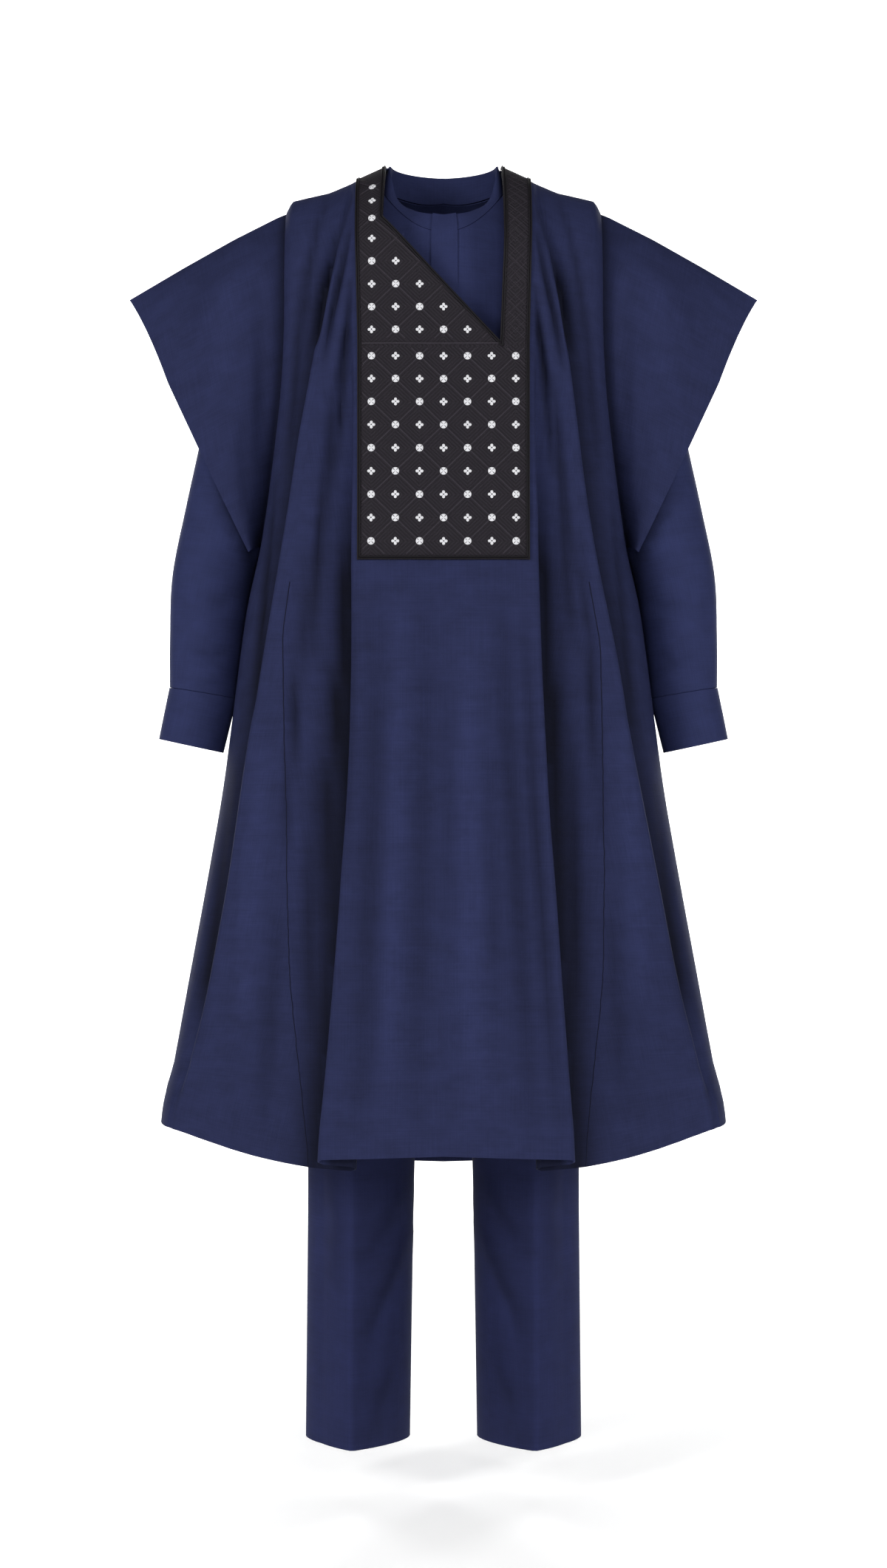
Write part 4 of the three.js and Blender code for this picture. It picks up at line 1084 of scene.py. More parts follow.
for word, face in FACES.items():
    sign = face["sign"]
    grid = np.array([[shirt_point(share, down, sign) for share in np.linspace(-1, 1, SHIRT_COLUMNS)]
                     for down in shirt_drops(SHIRT_SHOULDERS[sign][0])])
    outside_neck = cut_neck(grid)
    grid *= MM
    # The creases also give painted shade in their hollows
    offset = crease_offset(grid, SHIRT_CREASES, SHIRT_BACK_CREASES) * edge_fade(grid, 8)
    piece = cloth_wall(f"shirt_{word}_cloth", grid, SHIRT_THICKNESS, shirt_cloth, flip=sign > 0,
                       keep=outside_neck, offset=offset, painted_shade=painted_crease_shade(offset))
    dress(piece, [f"shirt_{word}"])

# %% [markdown]
# ## Collar band and placket
# The collar is one low band standing round the neck, and the front closes under a placket, a
# narrow doubled strip. The band could be lofted between two circles, but a neck leans forward, so
# its top edge has its own height at each angle.

# %% Collar and placket
BAND_THICKNESS = 0.0020
# Top edge: degrees round from the front, height
COLLAR_TOP = [(0, -53), (26, -48), (47, -38), (60, -26), (70, -5), (78, 9), (86, 15.5), (95, 17),
              (115, 16.5), (140, 16), (180, 15)]
COLLAR_TOP_RING = (-4, 62.4, 58)
COLLAR_POINTS = 120
COLLAR_ROWS = 9
SEWN_GAP = 0.9
PLACKET = dict(left=-13.6, right=15.6, bottom=-335, lift=0.0017)


def collar_ring(ring, angle):
    """A place of the plan on a ring round the neck, with the angle counted from the front."""
    centre, half_width, half_depth = ring
    return half_width * math.sin(angle), centre - half_depth * math.cos(angle)


def collar_spot(angle, share):
    """A point of the band from its top edge, share 0, to its seam, share 1."""
    from_front = math.degrees(min(angle % (2 * math.pi), -angle % (2 * math.pi)))
    x, y = collar_ring(NECK_HOLE, angle)
    seam = np.array([x, y, shirt_height(x, y) + SEWN_GAP])
    top_x, top_y = collar_ring(COLLAR_TOP_RING, angle)
    near = [max(from_front + step, 0) for step in (-4, 0, 4)]
    top = np.array([top_x, top_y, np.mean(np.interp(near, *zip(*COLLAR_TOP)))])
    spot = top + (seam - top) * share
    spot[2] += 1.2 * math.sin(math.pi * share)
    return spot


around = np.linspace(0, 2 * math.pi, COLLAR_POINTS, endpoint=False)
collar_rows = np.array([[collar_spot(angle, share) for angle in around]
                        for share in np.linspace(0, 1, COLLAR_ROWS)])
collar_cloth = cloth_wall("collar_band", collar_rows * MM, BAND_THICKNESS, shirt_cloth, closed=True)
dress(collar_cloth, ["shirt_collar"])

placket_top = shirt_height(0, NECK_HOLE[0] - NECK_HOLE[2]) - 2.5
placket_across = np.linspace(PLACKET["left"], PLACKET["right"], 11)
placket_rows = [[collar_spot(math.asin(x / NECK_HOLE[1]), share) for x in placket_across]
                for share in np.linspace(0.02, 0.9, 8)]
for height in np.linspace(placket_top, PLACKET["bottom"], 60):
    row = []
    for x in placket_across:
        ridge = np.interp(abs(x), *zip(*SHIRT_RIDGES[-1]))
        near = ridge - height < RIDGE_FADE
        down = (ridge - height) / (1 + ridge / RIDGE_FADE) if near else -height
        row.append(shirt_spot(x, down, -1))
    placket_rows.append(row)
placket_cloth = cloth_wall("placket_strip", np.array(placket_rows) * MM, SHIRT_THICKNESS, shirt_cloth,
                           lift=PLACKET["lift"])
dress(placket_cloth, ["shirt_placket"])

# %% [markdown]
# ## Shirt sleeves and cuffs
# A sleeve is a tube through leaning rings, from the armhole to the cuff. A curve with a round
# profile would do for a plain arm, but here the rings lean with the bent shoulder and flatten,
# so each is placed by its own centre, lean and half widths and the cloth runs smoothly between.

# %% Arms
# x, height, lean in degrees, half width, half depth
ARM_RINGS = [
    (175, -133.5, 2, 71.6, 42), (197.5, -151.5, 23.4, 61.6, 44), (212.2, -195.5, 51, 48.5, 45),
    (222.3, -253, 72, 48.1, 45), (231, -311.5, 78, 50, 45), (249.5, -387, 80, 48, 44),
    (265.5, -460, 84, 46.5, 43), (272.5, -530, 87, 42, 41), (276.3, -589, 80.7, 38.7, 38),
]
CUFF_RINGS = [
    (276.4, -589.5, 80.7, 39.2, 38.6), (283.5, -621, 79, 38.6, 37.6), (290, -650, 77.8, 37.9, 36.6),
]
ARM_ROWS = (4, 4, 6, 8, 8, 10, 10, 10, 9)
CUFF_ROWS = (8, 8)
ARM_POINTS = 72
ARMHOLE_BOTTOM = 192


def arm_ring(x, height, lean, half_width, half_depth, side):
    """A leaning ring of the arm, from its own row of sizes."""
    around = 2 * math.pi * np.arange(ARM_POINTS) / ARM_POINTS
    out = half_width * np.cos(around)
    lean = math.radians(lean)
    return np.column_stack([side * (x + out * math.sin(lean)), -half_depth * np.sin(around),
                            height + out * math.cos(lean)])


def armhole_ring(side):
    """The armhole's edge on the shirt's body, a sewn gap away from it."""
    ring = []
    for around in 2 * math.pi * np.arange(ARM_POINTS) / ARM_POINTS:
        sign = -1 if math.sin(around) >= 0 else 1
        spot = shirt_point(side, ARMHOLE_BOTTOM * (1 - math.cos(around)) / 2, sign)
        ring.append(spot + [side * SEWN_GAP, 0, -SEWN_GAP])
    return np.array(ring)


def between(rings, counts):
    """Rings that run smoothly through the given ones, with a number of steps between each two."""
    rings = np.array(rings)
    rows = []
    for i, count in enumerate(counts):
        a, b = rings[i], rings[i + 1]
        before = rings[i - 1] if i else 2 * a - b
        after = rings[i + 2] if i + 2 < len(rings) else 2 * b - a
        squared = 2 * before - 5 * a + 4 * b - after
        cubed = 3 * a - before - 3 * b + after
        for t in np.arange(count) / count:
            rows.append(0.5 * (2 * a + (b - before) * t + squared * t**2 + cubed * t**3))
    rows.append(rings[-1])
    return np.array(rows)


ELBOW_CREASES = [
    ([(-205, -330), (-228, -352), (-256, -362)], 7, -2.2),
    ([(-208, -372), (-232, -384), (-262, -380)], 6, -1.8),
    ([(-214, -408), (-240, -418), (-272, -404)], 7, 1.5),
    ([(-226, -470), (-250, -486), (-282, -478)], 6, -1.4),
    ([(-238, -536), (-262, -548), (-296, -536)], 5, -1.7),
    ([(-240, -560), (-268, -568), (-300, -562)], 4, 1.5),
    ([(-242, -577), (-272, -582), (-306, -574)], 4, -1.5),
    ([(-206, -236), (-226, -262), (-262, -276)], 8, -1.8),
]
ELBOW_CREASES += mirrored(ELBOW_CREASES, -7, 0.9)
ELBOW_BACK_CREASES = weaker(mirrored(ELBOW_CREASES, 9), 0.9)
# Not a crease of the cloth but a painted shadow that the wide sleeve's edge leaves on the arm
UNDER_WING = [([(-264, -338), (-240, -386), (-219, -438), (-223, -520), (-238, -600)], 9, -3.4)]
UNDER_WING += mirrored(UNDER_WING)

for side, word in SIDES.items():
    rings = [armhole_ring(side)] + [arm_ring(*ring, side) for ring in ARM_RINGS]
    grid = between(rings, ARM_ROWS) * MM
    row = np.arange(len(grid))
    fade = (eased(row / 8) * eased(row[::-1] / 3))[:, None]
    offset = crease_offset(grid, ELBOW_CREASES, ELBOW_BACK_CREASES) * fade
    # Painted shade of the elbow's creases and the painted shadow under the wing's edge
    under_wing = painted_crease_shade(crease_offset(grid, UNDER_WING, UNDER_WING))
    sleeve = cloth_wall(f"arm_{word}", grid, SHIRT_THICKNESS, shirt_cloth, closed=True, flip=side > 0,
                        offset=offset, painted_shade=0.6 * painted_crease_shade(offset) + under_wing)
    dress(sleeve, [f"shirt_sleeve_{word}"])
    grid = between([arm_ring(*ring, side) for ring in CUFF_RINGS], CUFF_ROWS) * MM
    cuff = cloth_wall(f"cuff_{word}", grid, BAND_THICKNESS, shirt_cloth, closed=True, flip=side > 0)
    dress(cuff, [f"shirt_cuff_{word}"])

# %% [markdown]
# ## Trousers
# The legs are straight with a pressed crease at the front and the back, and the band at the waist
# is hidden by the shirt. Above the crotch each leg's cloth covers only the outer half, because both
# legs share one hollow there.

# %% Trousers
TROUSER_THICKNESS = 0.0015
# Height, centre x, half width, front depth, back depth, crease height, crease offset
LEG_SECTIONS = [
    (-492, 84, 84, 104, 100, 0, 0), (-560, 86, 86, 106, 108, 0, 0), (-630, 88, 88, 104, 112, 1, 0),
    (-690, 88, 87.5, 100, 108, 2, 1), (-735, 87, 81, 92, 95, 3, 2), (-800, 88, 77, 90, 90, 4, 4),
    (-900, 91, 70, 83, 82, 5, 6), (-1010, 93, 63.5, 76, 76, 6, 7), (-1130, 94.5, 59.8, 71, 71, 7, 7.5),
    (-1290, 96.5, 58.8, 70, 70, 7, 6.5), (-1442, 98.4, 58.4, 69, 69, 7, 4.5),
]
LEG_ROWS = (6, 6, 6, 6, 8, 10, 11, 12, 16, 15)
CROTCH_ROW = 3
CROTCH_HEIGHT = -690
# The middle seam bulges a little, and each front is pressed flat on both sides of its crease
MIDDLE_BULGE = 1.5
PRESSED_FLAT = 0.4
PRESSED_REACH = 0.72
# How far round the middle seam lies from the front, as a share of half a turn, high up and low down
SEAM_TURN = (0.42, 0.28)
SPREAD_OVER = 110
# Painted shade on the inner side of each leg, left darker than the outer side as the light falls
INNER_SHADE = 0.28
OUTER_POINTS = 71
INNER_POINTS = 37
WAIST = dict(top=-452, bottom=-491.4, half_width=169.6, front=105.2, back=101.2, points=140)


def leg_ring(row, side):
    """A ring starts at the front on the middle seam and goes round the outer side."""
    height, centre, half_width, front, back, crease, offset = LEG_SECTIONS[row]
    outer = np.linspace(0, 1, OUTER_POINTS)
    inner = (np.arange(INNER_POINTS) + 1) / (INNER_POINTS + 1)
    if row <= CROTCH_ROW:
        around = math.pi * outer
        x = np.concatenate([SEWN_GAP + (centre + half_width - SEWN_GAP) * np.sin(around),
                            SEWN_GAP + MIDDLE_BULGE * np.sin(math.pi * inner)])
        y = np.concatenate([-np.cos(around) * np.where(np.cos(around) > 0, front, back),
                            back + (-front - back) * inner])
    else:
        spread = min(max((CROTCH_HEIGHT - height) / SPREAD_OVER, 0), 1)
        start = (SEAM_TURN[0] + (SEAM_TURN[1] - SEAM_TURN[0]) * spread) * math.pi
        around = np.concatenate([-start + (math.pi + 2 * start) * outer,
                                 math.pi + start + (math.pi - 2 * start) * inner])
        x = centre + half_width * np.sin(around)
        depth = np.where(np.cos(around) > 0, front, back)
        flat = PRESSED_FLAT * spread
        level = np.abs(np.cos(around))
        pressed = (1 - flat) * level + flat * (1 - np.abs(np.sin(around)))
        y = -np.sign(np.cos(around)) * pressed * depth
        near = np.clip(1 - np.arccos(np.minimum(level, 1)) / PRESSED_REACH, 0, 1)
        y += np.sign(y) * crease * near
        x += offset * near
    return np.column_stack([side * x, y, np.full(len(x), height)])


KNEE_CREASES = [
    ([(-40, -1196), (-66, -1262), (-96, -1322)], 9, -2.2),
    ([(-46, -1150), (-72, -1196), (-104, -1240)], 9, -1.7),
    ([(-52, -1244), (-70, -1300), (-86, -1368)], 8, 1.4),
    ([(-128, -1120), (-116, -1190), (-124, -1270)], 10, -1.6),
    ([(-60, -1350), (-76, -1392), (-84, -1428)], 7, -1.3),
    ([(-64, -760), (-84, -840), (-82, -960)], 12, -1.8),
]
KNEE_CREASES += mirrored(KNEE_CREASES, 12, 0.9)
KNEE_BACK_CREASES = weaker(mirrored(KNEE_CREASES, 34), 0.9)

for side, word in SIDES.items():
    grid = between([leg_ring(row, side) for row in range(len(LEG_SECTIONS))], LEG_ROWS)
    grid[..., 0] = side * np.maximum(side * grid[..., 0], SEWN_GAP)
    grid *= MM
    keep = np.ones((len(grid) - 1, grid.shape[1]), bool)
    keep[:sum(LEG_ROWS[:CROTCH_ROW]), OUTER_POINTS - 1:] = False
    fade = eased((np.arange(len(grid)) - sum(LEG_ROWS[:CROTCH_ROW + 1])) / 5)[:, None]
    offset = crease_offset(grid, KNEE_CREASES, KNEE_BACK_CREASES) * fade
    # Painted shade: the inner side of each leg, from its front crease round the inside, and the knee
    # creases
    pressed = np.argmax(np.abs(grid[..., 1]) * (grid[..., 1] < 0), axis=1)[:, None]
    column = np.arange(grid.shape[1])
    inner = (column < pressed) | (column >= OUTER_POINTS)
    leg = cloth_wall(f"leg_{word}", grid, TROUSER_THICKNESS, trouser_cloth, closed=True, flip=side > 0,
                     keep=keep, offset=offset, painted_shade=0.8 * painted_crease_shade(offset) + INNER_SHADE * inner)
    dress(leg, [f"trouser_leg_{word}"])


# %% Waistband
def waist_ring(height):
    """A flattened ring at one height, in millimetres."""
    around = np.linspace(0, 2 * math.pi, WAIST["points"], endpoint=False)
    depth = np.where(np.cos(around) > 0, WAIST["front"], WAIST["back"])
    return np.column_stack([WAIST["half_width"] * np.sin(around), -depth * np.cos(around),
                            np.full(WAIST["points"], height)])


waist = np.array([waist_ring(height) for height in np.linspace(WAIST["top"], WAIST["bottom"], 7)])
waistband = cloth_wall("waistband", waist * MM, BAND_THICKNESS, trouser_cloth, closed=True)
dress(waistband, ["trouser_waistband"])

# %% [markdown]
# ## The worked panel
# The neck is framed by a dark stitched panel: two strips that run down beside the slanted neck
# opening and join below it. It lies on the front, so its grid is read from the same sections and
# lifted by a cloth's thickness. Rows follow the drop; columns run between the outline's edges.

# %% Panel ground
YOKE_THICKNESS = 0.0014
SEAM_GAP = 0.0003
YOKE_TOP = SEAM_GAP + YOKE_THICKNESS
# Edges on the front view: height, x. The two strips join at the notch
YOKE_EDGE = [(40, 98.5), (-10, 98.5), (-80, 98), (-209, 94.8), (-334, 94.5), (-448.5, 94.5)]
NECK_LEFT_EDGE = [(40, -64.6), (-20, -65.5), (-64, -67), (-207.5, 63)]
NECK_RIGHT_EDGE = [(40, 64.6), (-20, 66), (-85, 67), (-207.5, 63)]
NOTCH = (62.0, -204.5)
YOKE_BOTTOM = 448.5
# A coarser section is enough to read depths from, up to the first turn of the panel's fold
COARSE = dict(centre=48, arc=6, run=2, to_seam=1, seam_to_fold=1, to_side=1)
FIRST_TURN = COARSE["centre"] + COARSE["arc"] + 2
sample_drops = np.concatenate([SHOULDER_HEIGHT * (1 - np.cos(np.linspace(0, math.pi / 2, 24))),
                               np.arange(124, 470, 5)])
sampled = {
    (face_name, side): [half_section(face, down, COLUMN_OF[side], COARSE)[:FIRST_TURN]
                        for down in sample_drops]
    for face_name, face in FACES.items() for side in SIDES
}


def depth_at(face_name, x, down):
    """Depth of the robe's outer side at a place across, in millimetres, for arrays of places."""
    face = FACES[face_name]
    depth = np.zeros(x.shape)
    for side, half in ((-1, x < 0), (1, x >= 0)):
        across = np.abs(x[half])
        table = np.array([np.interp(across, line[:, 0], line[:, 1]) for line in sampled[face_name, side]])
        spot = np.interp(down[half], sample_drops, np.arange(len(sample_drops)))
        low = np.clip(np.floor(spot).astype(int), 0, len(sample_drops) - 2)
        part = spot - low
        index = np.arange(len(across))
        depth[half] = table[low, index] * (1 - part) + table[low + 1, index] * part
    return face["sign"] * np.maximum(depth * shoulder_curve(down, face["power"]), EDGE_DEPTH)


def front_height(x, down):
    """Height of a place on the robe from its distance down the cloth."""
    return ridge_height(x, down) - down


def on_face(face_name, x, down):
    """Points of the robe's outer side from places across and distances down, in metres."""
    x, down = np.broadcast_arrays(np.asarray(x, float), np.asarray(down, float))
    return np.stack([x, depth_at(face_name, x, down), front_height(x, down)], axis=-1) * MM


def down_at(x, height):
    """Distance down the cloth of a front-view height."""
    ridge = ridge_height(x, 0)
    near = (ridge - height) / (1 + ridge / RIDGE_FADE)
    return np.where(near < RIDGE_FADE, near, -height)


# Length of cloth from the ridge at the centre of each strip, for the stitching's pattern
STRIP_MIDDLE = 84.0
walk_down = np.linspace(0, 460, 400)
walked = running_length(on_face("front", np.full(len(walk_down), STRIP_MIDDLE), walk_down)) / MM
# The grid of studs: spacing across and along the cloth, first column, first full row, how much
# higher the rows beside the opening are set, and from which row on
GRID_COLUMN = 26.4
GRID_ROW = 25.8
GRID_LEFT = -79.1
FIRST_ROW_HEIGHT = -222.8
UPPER_SHIFT = 4.3
UPPER_FROM = -0.58
first_row_walk = float(np.interp(down_at(STRIP_MIDDLE, FIRST_ROW_HEIGHT), walk_down, walked))


def stitch_place(x, down):
    """Places in the stitching's grid: 1 a stud apart across and along the cloth. Rows are level."""
    level = np.maximum(down_at(STRIP_MIDDLE, front_height(x, down)), 0)
    along = np.interp(level, walk_down, walked)
    raised = np.where(along < first_row_walk - GRID_ROW / 2, UPPER_SHIFT, 0)
    return np.stack([(x - GRID_LEFT) / GRID_COLUMN, (along + raised - first_row_walk) / GRID_ROW],
                    axis=-1)


def edge_x(table, x_guess, down):
    """Where an edge drawn from the front crosses a row of constant drop."""
    heights, places = zip(*sorted(table))
    x = x_guess
    for _ in range(5):
        x = float(np.interp(front_height(x, down), heights, places))
    return x


print("cloth from the ridge down to the first full row of studs:", round(first_row_walk), "mm")

# %% [markdown]
# The two strips and the part below them share one grid. Beside the opening the quads between the
# strips are left away, and from its lowest point on the two middle columns are welded together.

# %% Worked panel
LEFT_COLUMNS = 76
RIGHT_COLUMNS = 17
notch_down = float(down_at(*NOTCH))
upper = np.concatenate([SHOULDER_HEIGHT * (1 - np.cos(np.linspace(0, math.pi / 2, 40))),
                        np.linspace(SHOULDER_HEIGHT, notch_down, 42)[1:]])
yoke_drops = np.concatenate([upper, np.linspace(notch_down, YOKE_BOTTOM, 108)[1:]])
outer_left = [(height, -x) for height, x in YOKE_EDGE]


def yoke_row(down):
    """Places across one row of the panel, from its left edge to its right one."""
    split = [NOTCH[0], NOTCH[0]]
    if down < notch_down:
        split = [edge_x(NECK_LEFT_EDGE, -65, down), edge_x(NECK_RIGHT_EDGE, 65, down)]
    return np.concatenate([np.linspace(edge_x(outer_left, -96, down), split[0], LEFT_COLUMNS),
                           np.linspace(split[1], edge_x(YOKE_EDGE, 96, down), RIGHT_COLUMNS)])


yoke_x = np.array([yoke_row(down) for down in yoke_drops])
yoke_down = np.broadcast_to(yoke_drops[:, None], yoke_x.shape)
yoke_grid = on_face("front", yoke_x, yoke_down)
weld = np.arange(yoke_x.size).reshape(yoke_x.shape)
meet = int(np.argmax(yoke_drops >= notch_down))
weld[meet:, LEFT_COLUMNS] = weld[meet:, LEFT_COLUMNS - 1]
keep = np.ones((len(yoke_x) - 1, yoke_x.shape[1] - 1), bool)
keep[:, LEFT_COLUMNS - 1] = False
print("panel grid", yoke_x.shape)


# %% [markdown]
# ## The panel's stitching
# Close dark stitching covers the panel in nested diamonds. It shows mostly as relief, so a group
# turns the distance to the nearest diamond line into fine ridges. Near-black thread still catches
# light along its ridges; the group paints that highlight into the colour, which lets the pattern read.

# %% Stitching material
DIAMONDS_NESTED = 6
STITCHES_A_STUD = 17
THREAD_SPECKS = (24, 24, 1)


def stitching_group():
    """Nested diamonds of thread, with the place counted in studs."""
    group, given, result, place, split = finish_group("nested_diamonds", (
        ("Colour", "NodeSocketColor", (0.02, 0.02, 0.02, 1)),
        ("Ridge highlight", "NodeSocketFloat", 0.5),
    ))
    nodes, links = group.nodes, group.links
    total = math_node(nodes, links, "ADD", split["X"], split["Y"])
    gap = math_node(nodes, links, "SUBTRACT", split["X"], split["Y"])
    one = math_node(nodes, links, "PINGPONG", total, 1.0)
    two = math_node(nodes, links, "PINGPONG", gap, 1.0)
    near = math_node(nodes, links, "MINIMUM", one, two)
    ridges = sine_of(nodes, links, near, 2 * math.pi * DIAMONDS_NESTED)
    thread = noise_node(nodes, links, stretched(nodes, links, place, THREAD_SPECKS), 1.0, 3.0, 0.6)
    stitches = sine_of(nodes, links, split["Y"], 2 * math.pi * STITCHES_A_STUD)
    height = math_node(nodes, links, "MULTIPLY_ADD", stitches, 0.3, ridges)
    height = math_node(nodes, links, "MULTIPLY_ADD", thread, 1.2, height)
    # Painted highlight: the colour is made lighter along the diamond ridges, broken by the thread's specks
    lit = math_node(nodes, links, "MULTIPLY_ADD", ridges, 0.5, 0.5)
    lit = math_node(nodes, links, "MULTIPLY", lit, given["Ridge highlight"])
    lit = math_node(nodes, links, "MULTIPLY", lit, thread)
    factor = math_node(nodes, links, "ADD", lit, 0.7)
    links.new(shaded(nodes, links, given["Colour"], factor), result["Colour"])
    links.new(math_node(nodes, links, "MULTIPLY_ADD", thread, 0.3, 0.5), result["Roughness"])
    links.new(relief(nodes, links, height, 0.0005, 0.7), result["Normal"])
    return group


nested_diamonds = stitching_group()


def thread_material(name, colour, roughness, sheen=0.0):
    """Thread with fine strands, for cords, lines and studs."""
    material, shader = new_material(name)
    nodes, links = material.node_tree.nodes, material.node_tree.links
    place = nodes.new("ShaderNodeTexCoord")
    strands = noise_node(nodes, links, place.outputs["Object"], 900.0)
    shades = nodes.new("ShaderNodeMixRGB")
    shades.inputs["Color1"].default_value = tuple(v * 0.8 for v in colour[:3]) + (1,)
    shades.inputs["Color2"].default_value = tuple(min(v * 1.2, 1) for v in colour[:3]) + (1,)
    links.new(strands, shades.inputs["Fac"])
    links.new(shades.outputs["Color"], shader.inputs["Base Color"])
    links.new(relief(nodes, links, strands, 0.0003, 0.4), shader.inputs["Normal"])
    shader.inputs["Roughness"].default_value = roughness
    shader.inputs["Sheen Weight"].default_value = sheen
    shader.inputs["Specular IOR Level"].default_value = 0.15
    return material


worked_cloth = finished("worked_panel", nested_diamonds,
                        {"Colour": linear(36, 32, 39), "Ridge highlight": 0.9}, 0.2)
dark_thread = thread_material("dark_thread", linear(24, 22, 26), 0.55)
# The lattice's thread is a lighter copy of the dark thread: painted highlight along the raised lines
line_thread = thread_material("lattice_thread", linear(55, 51, 58), 0.6)
# Dark navy for the tubes in the robe's seams: painted shadow in each seam
seam_shadow = thread_material("seam_shadow", linear(20, 22, 42), 0.8)
white_thread = thread_material("white_stud", linear(226, 226, 230), 0.45, 0.1)
yoke_cloth = cloth_wall("worked_panel", yoke_grid, YOKE_THICKNESS, worked_cloth, lift=YOKE_TOP,
                        keep=keep, weld=weld.ravel(), cut=stitch_place(yoke_x, yoke_down))
dress(yoke_cloth, ["robe_yoke"])
print("panel faces", len(yoke_cloth.data.polygons))

# %% [markdown]
# ## Cords and raised lines
# The border is two dark cords side by side, thinner raised lines join the studs in a lattice, and
# a fine dark tube lies in the robe's long seams as a painted shadow. Curve objects with a bevel would do,
# but a tube along places on the cloth sits on it exactly.

# %% Tubes on the panel
def surface_frame(x, down, probe=0.6):
    """Points on the robe's front with their normals."""
    x, down = np.asarray(x), np.asarray(down)
    aside = on_face("front", x + probe, down) - on_face("front", x - probe, down)
    below = on_face("front", x, down + probe) - on_face("front", x, np.maximum(down - probe, 0))
    normal = np.cross(below, aside)
    normal /= np.maximum(np.linalg.norm(normal, axis=1, keepdims=True), 1e-12)
    return on_face("front", x, down), normal


def tube(path, normals, radius, flat=1.0, sides=8):
    """Points and quads of a closed tube along a path; flat below 1 presses it down."""
    ahead = np.gradient(path, axis=0)
    ahead /= np.maximum(np.linalg.norm(ahead, axis=1, keepdims=True), 1e-12)
    aside = np.cross(ahead, normals)
    turn = 2 * math.pi * np.arange(sides) / sides
    ring = (path[:, None] + radius * np.cos(turn)[None, :, None] * aside[:, None]
            + radius * flat * np.sin(turn)[None, :, None] * normals[:, None])
    row, side = np.meshgrid(np.arange(len(path) - 1), np.arange(sides), indexing="ij")
    beside = (side + 1) % sides
    quads = np.stack([row * sides + side, row * sides + beside, (row + 1) * sides + beside,
                      (row + 1) * sides + side], axis=-1).reshape(-1, 4).tolist()
    last = (len(path) - 1) * sides
    return ring.reshape(-1, 3), quads + [list(range(sides))[::-1], [last + k for k in range(sides)]]


def mesh_piece(name, parts, materials):
    """One object from several lists of points and faces; each part may carry material numbers."""
    points, faces, slots_used = [], [], []
    for part in parts:
        shift = len(points)
        points.extend(part[0].tolist())
        faces.extend([[k + shift for k in face] for face in part[1]])
        slots_used.extend(part[2] if len(part) > 2 else [0] * len(part[1]))
    mesh = bpy.data.meshes.new(name)
    mesh.from_pydata(points, [], faces)
    mesh.shade_smooth()
    mesh.set_sharp_from_angle(angle=SHARP_ANGLE)
    for material in materials:
        mesh.materials.append(material)
    mesh.polygons.foreach_set("material_index", slots_used)
    piece = bpy.data.objects.new(name, mesh)
    bpy.context.scene.collection.objects.link(piece)
    return piece


def beside(line, distance):
    """A front-view line moved to one side."""
    line = np.array(line, float)
    steps = np.diff(line, axis=0)
    steps /= np.linalg.norm(steps, axis=1, keepdims=True)
    before = np.concatenate([steps[:1], steps])
    after = np.concatenate([steps, steps[-1:]])
    mean = before + after
    mean /= np.linalg.norm(mean, axis=1, keepdims=True)
    stretch = distance / np.maximum((mean * after).sum(axis=1), 0.3)
    return line + np.column_stack([-mean[:, 1], mean[:, 0]]) * stretch[:, None]


def spread_along(line, count):
    """A front-view line as a number of points at even steps."""
    line = np.array(line, float)
    lengths = running_length(line)
    spots = np.linspace(0, lengths[-1], count)
    return np.column_stack([np.interp(spots, lengths, line[:, k]) for k in (0, 1)])


def walk_line(line, step=2.5):
    """A front-view line resampled at a given step."""
    return spread_along(line, max(int(running_length(np.array(line, float))[-1] / step), 2))


def ride_plain(piece):
    """A piece of its own that stands for no node but moves with the part."""
    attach(piece, "root")
    return piece


# %% Seam shadow lines
SEAM_RADIUS = 0.0005
seam_tubes = [tube(path + normal * 0.0001, normal, SEAM_RADIUS, 0.8, 6) for path, normal in seam_paths]
seams = ride_plain(mesh_piece("robe_seams", seam_tubes, [seam_shadow]))
print("seam faces", len(seams.data.polygons))

# %% Border cords
CORD_RADIUS = 0.0009
# Distances of the two cords' middles from the panel's edge, in millimetres
CORD_PLACES = (1.1, 3.2)


def border(line, inward):
    """Two cords side by side along a front-view line."""
    parts = []
    for distance in CORD_PLACES:
        path = walk_line(beside(line, inward * distance))
        down = down_at(path[:, 0], path[:, 1])
        path, down = path[down > 0.02], down[down > 0.02]
        spot, normal = surface_frame(path[:, 0], down)
        parts.append(tube(spot + normal * (YOKE_TOP + CORD_RADIUS * 0.8), normal, CORD_RADIUS))
    return parts


YOKE_OUTLINE = [(-98.5, -3.5), (-98.5, -10), (-98, -80), (-94.8, -209), (-94.5, -334), (-94.5, -448.5)]
YOKE_OUTLINE += [(-x, z) for x, z in YOKE_OUTLINE[::-1]]
NECK_LINE = [(-64.7, 12.4), (-65.5, -20), (-67, -64), NOTCH, (67, -85), (66, -20), (64.7, 12.4)]
outer_cord = mesh_piece("outer_cord", border(YOKE_OUTLINE, 1), [dark_thread])
neck_cord = mesh_piece("neck_cord", border(NECK_LINE, -1), [dark_thread])
dress(outer_cord, ["robe_yoke_outer_cord"])
dress(neck_cord, ["robe_yoke_neck_cord"])
print("cord faces", len(outer_cord.data.polygons), len(neck_cord.data.polygons))

# %% [markdown]
# ## Lattice and studs
# Raised lines run at 45 degrees through the discs, and each four-petal stud sits in the middle of
# a diamond. A finer lattice fills the strip without studs. Lines and studs are laid out in the
# stitching's own grid, so they stay true over the shoulder.

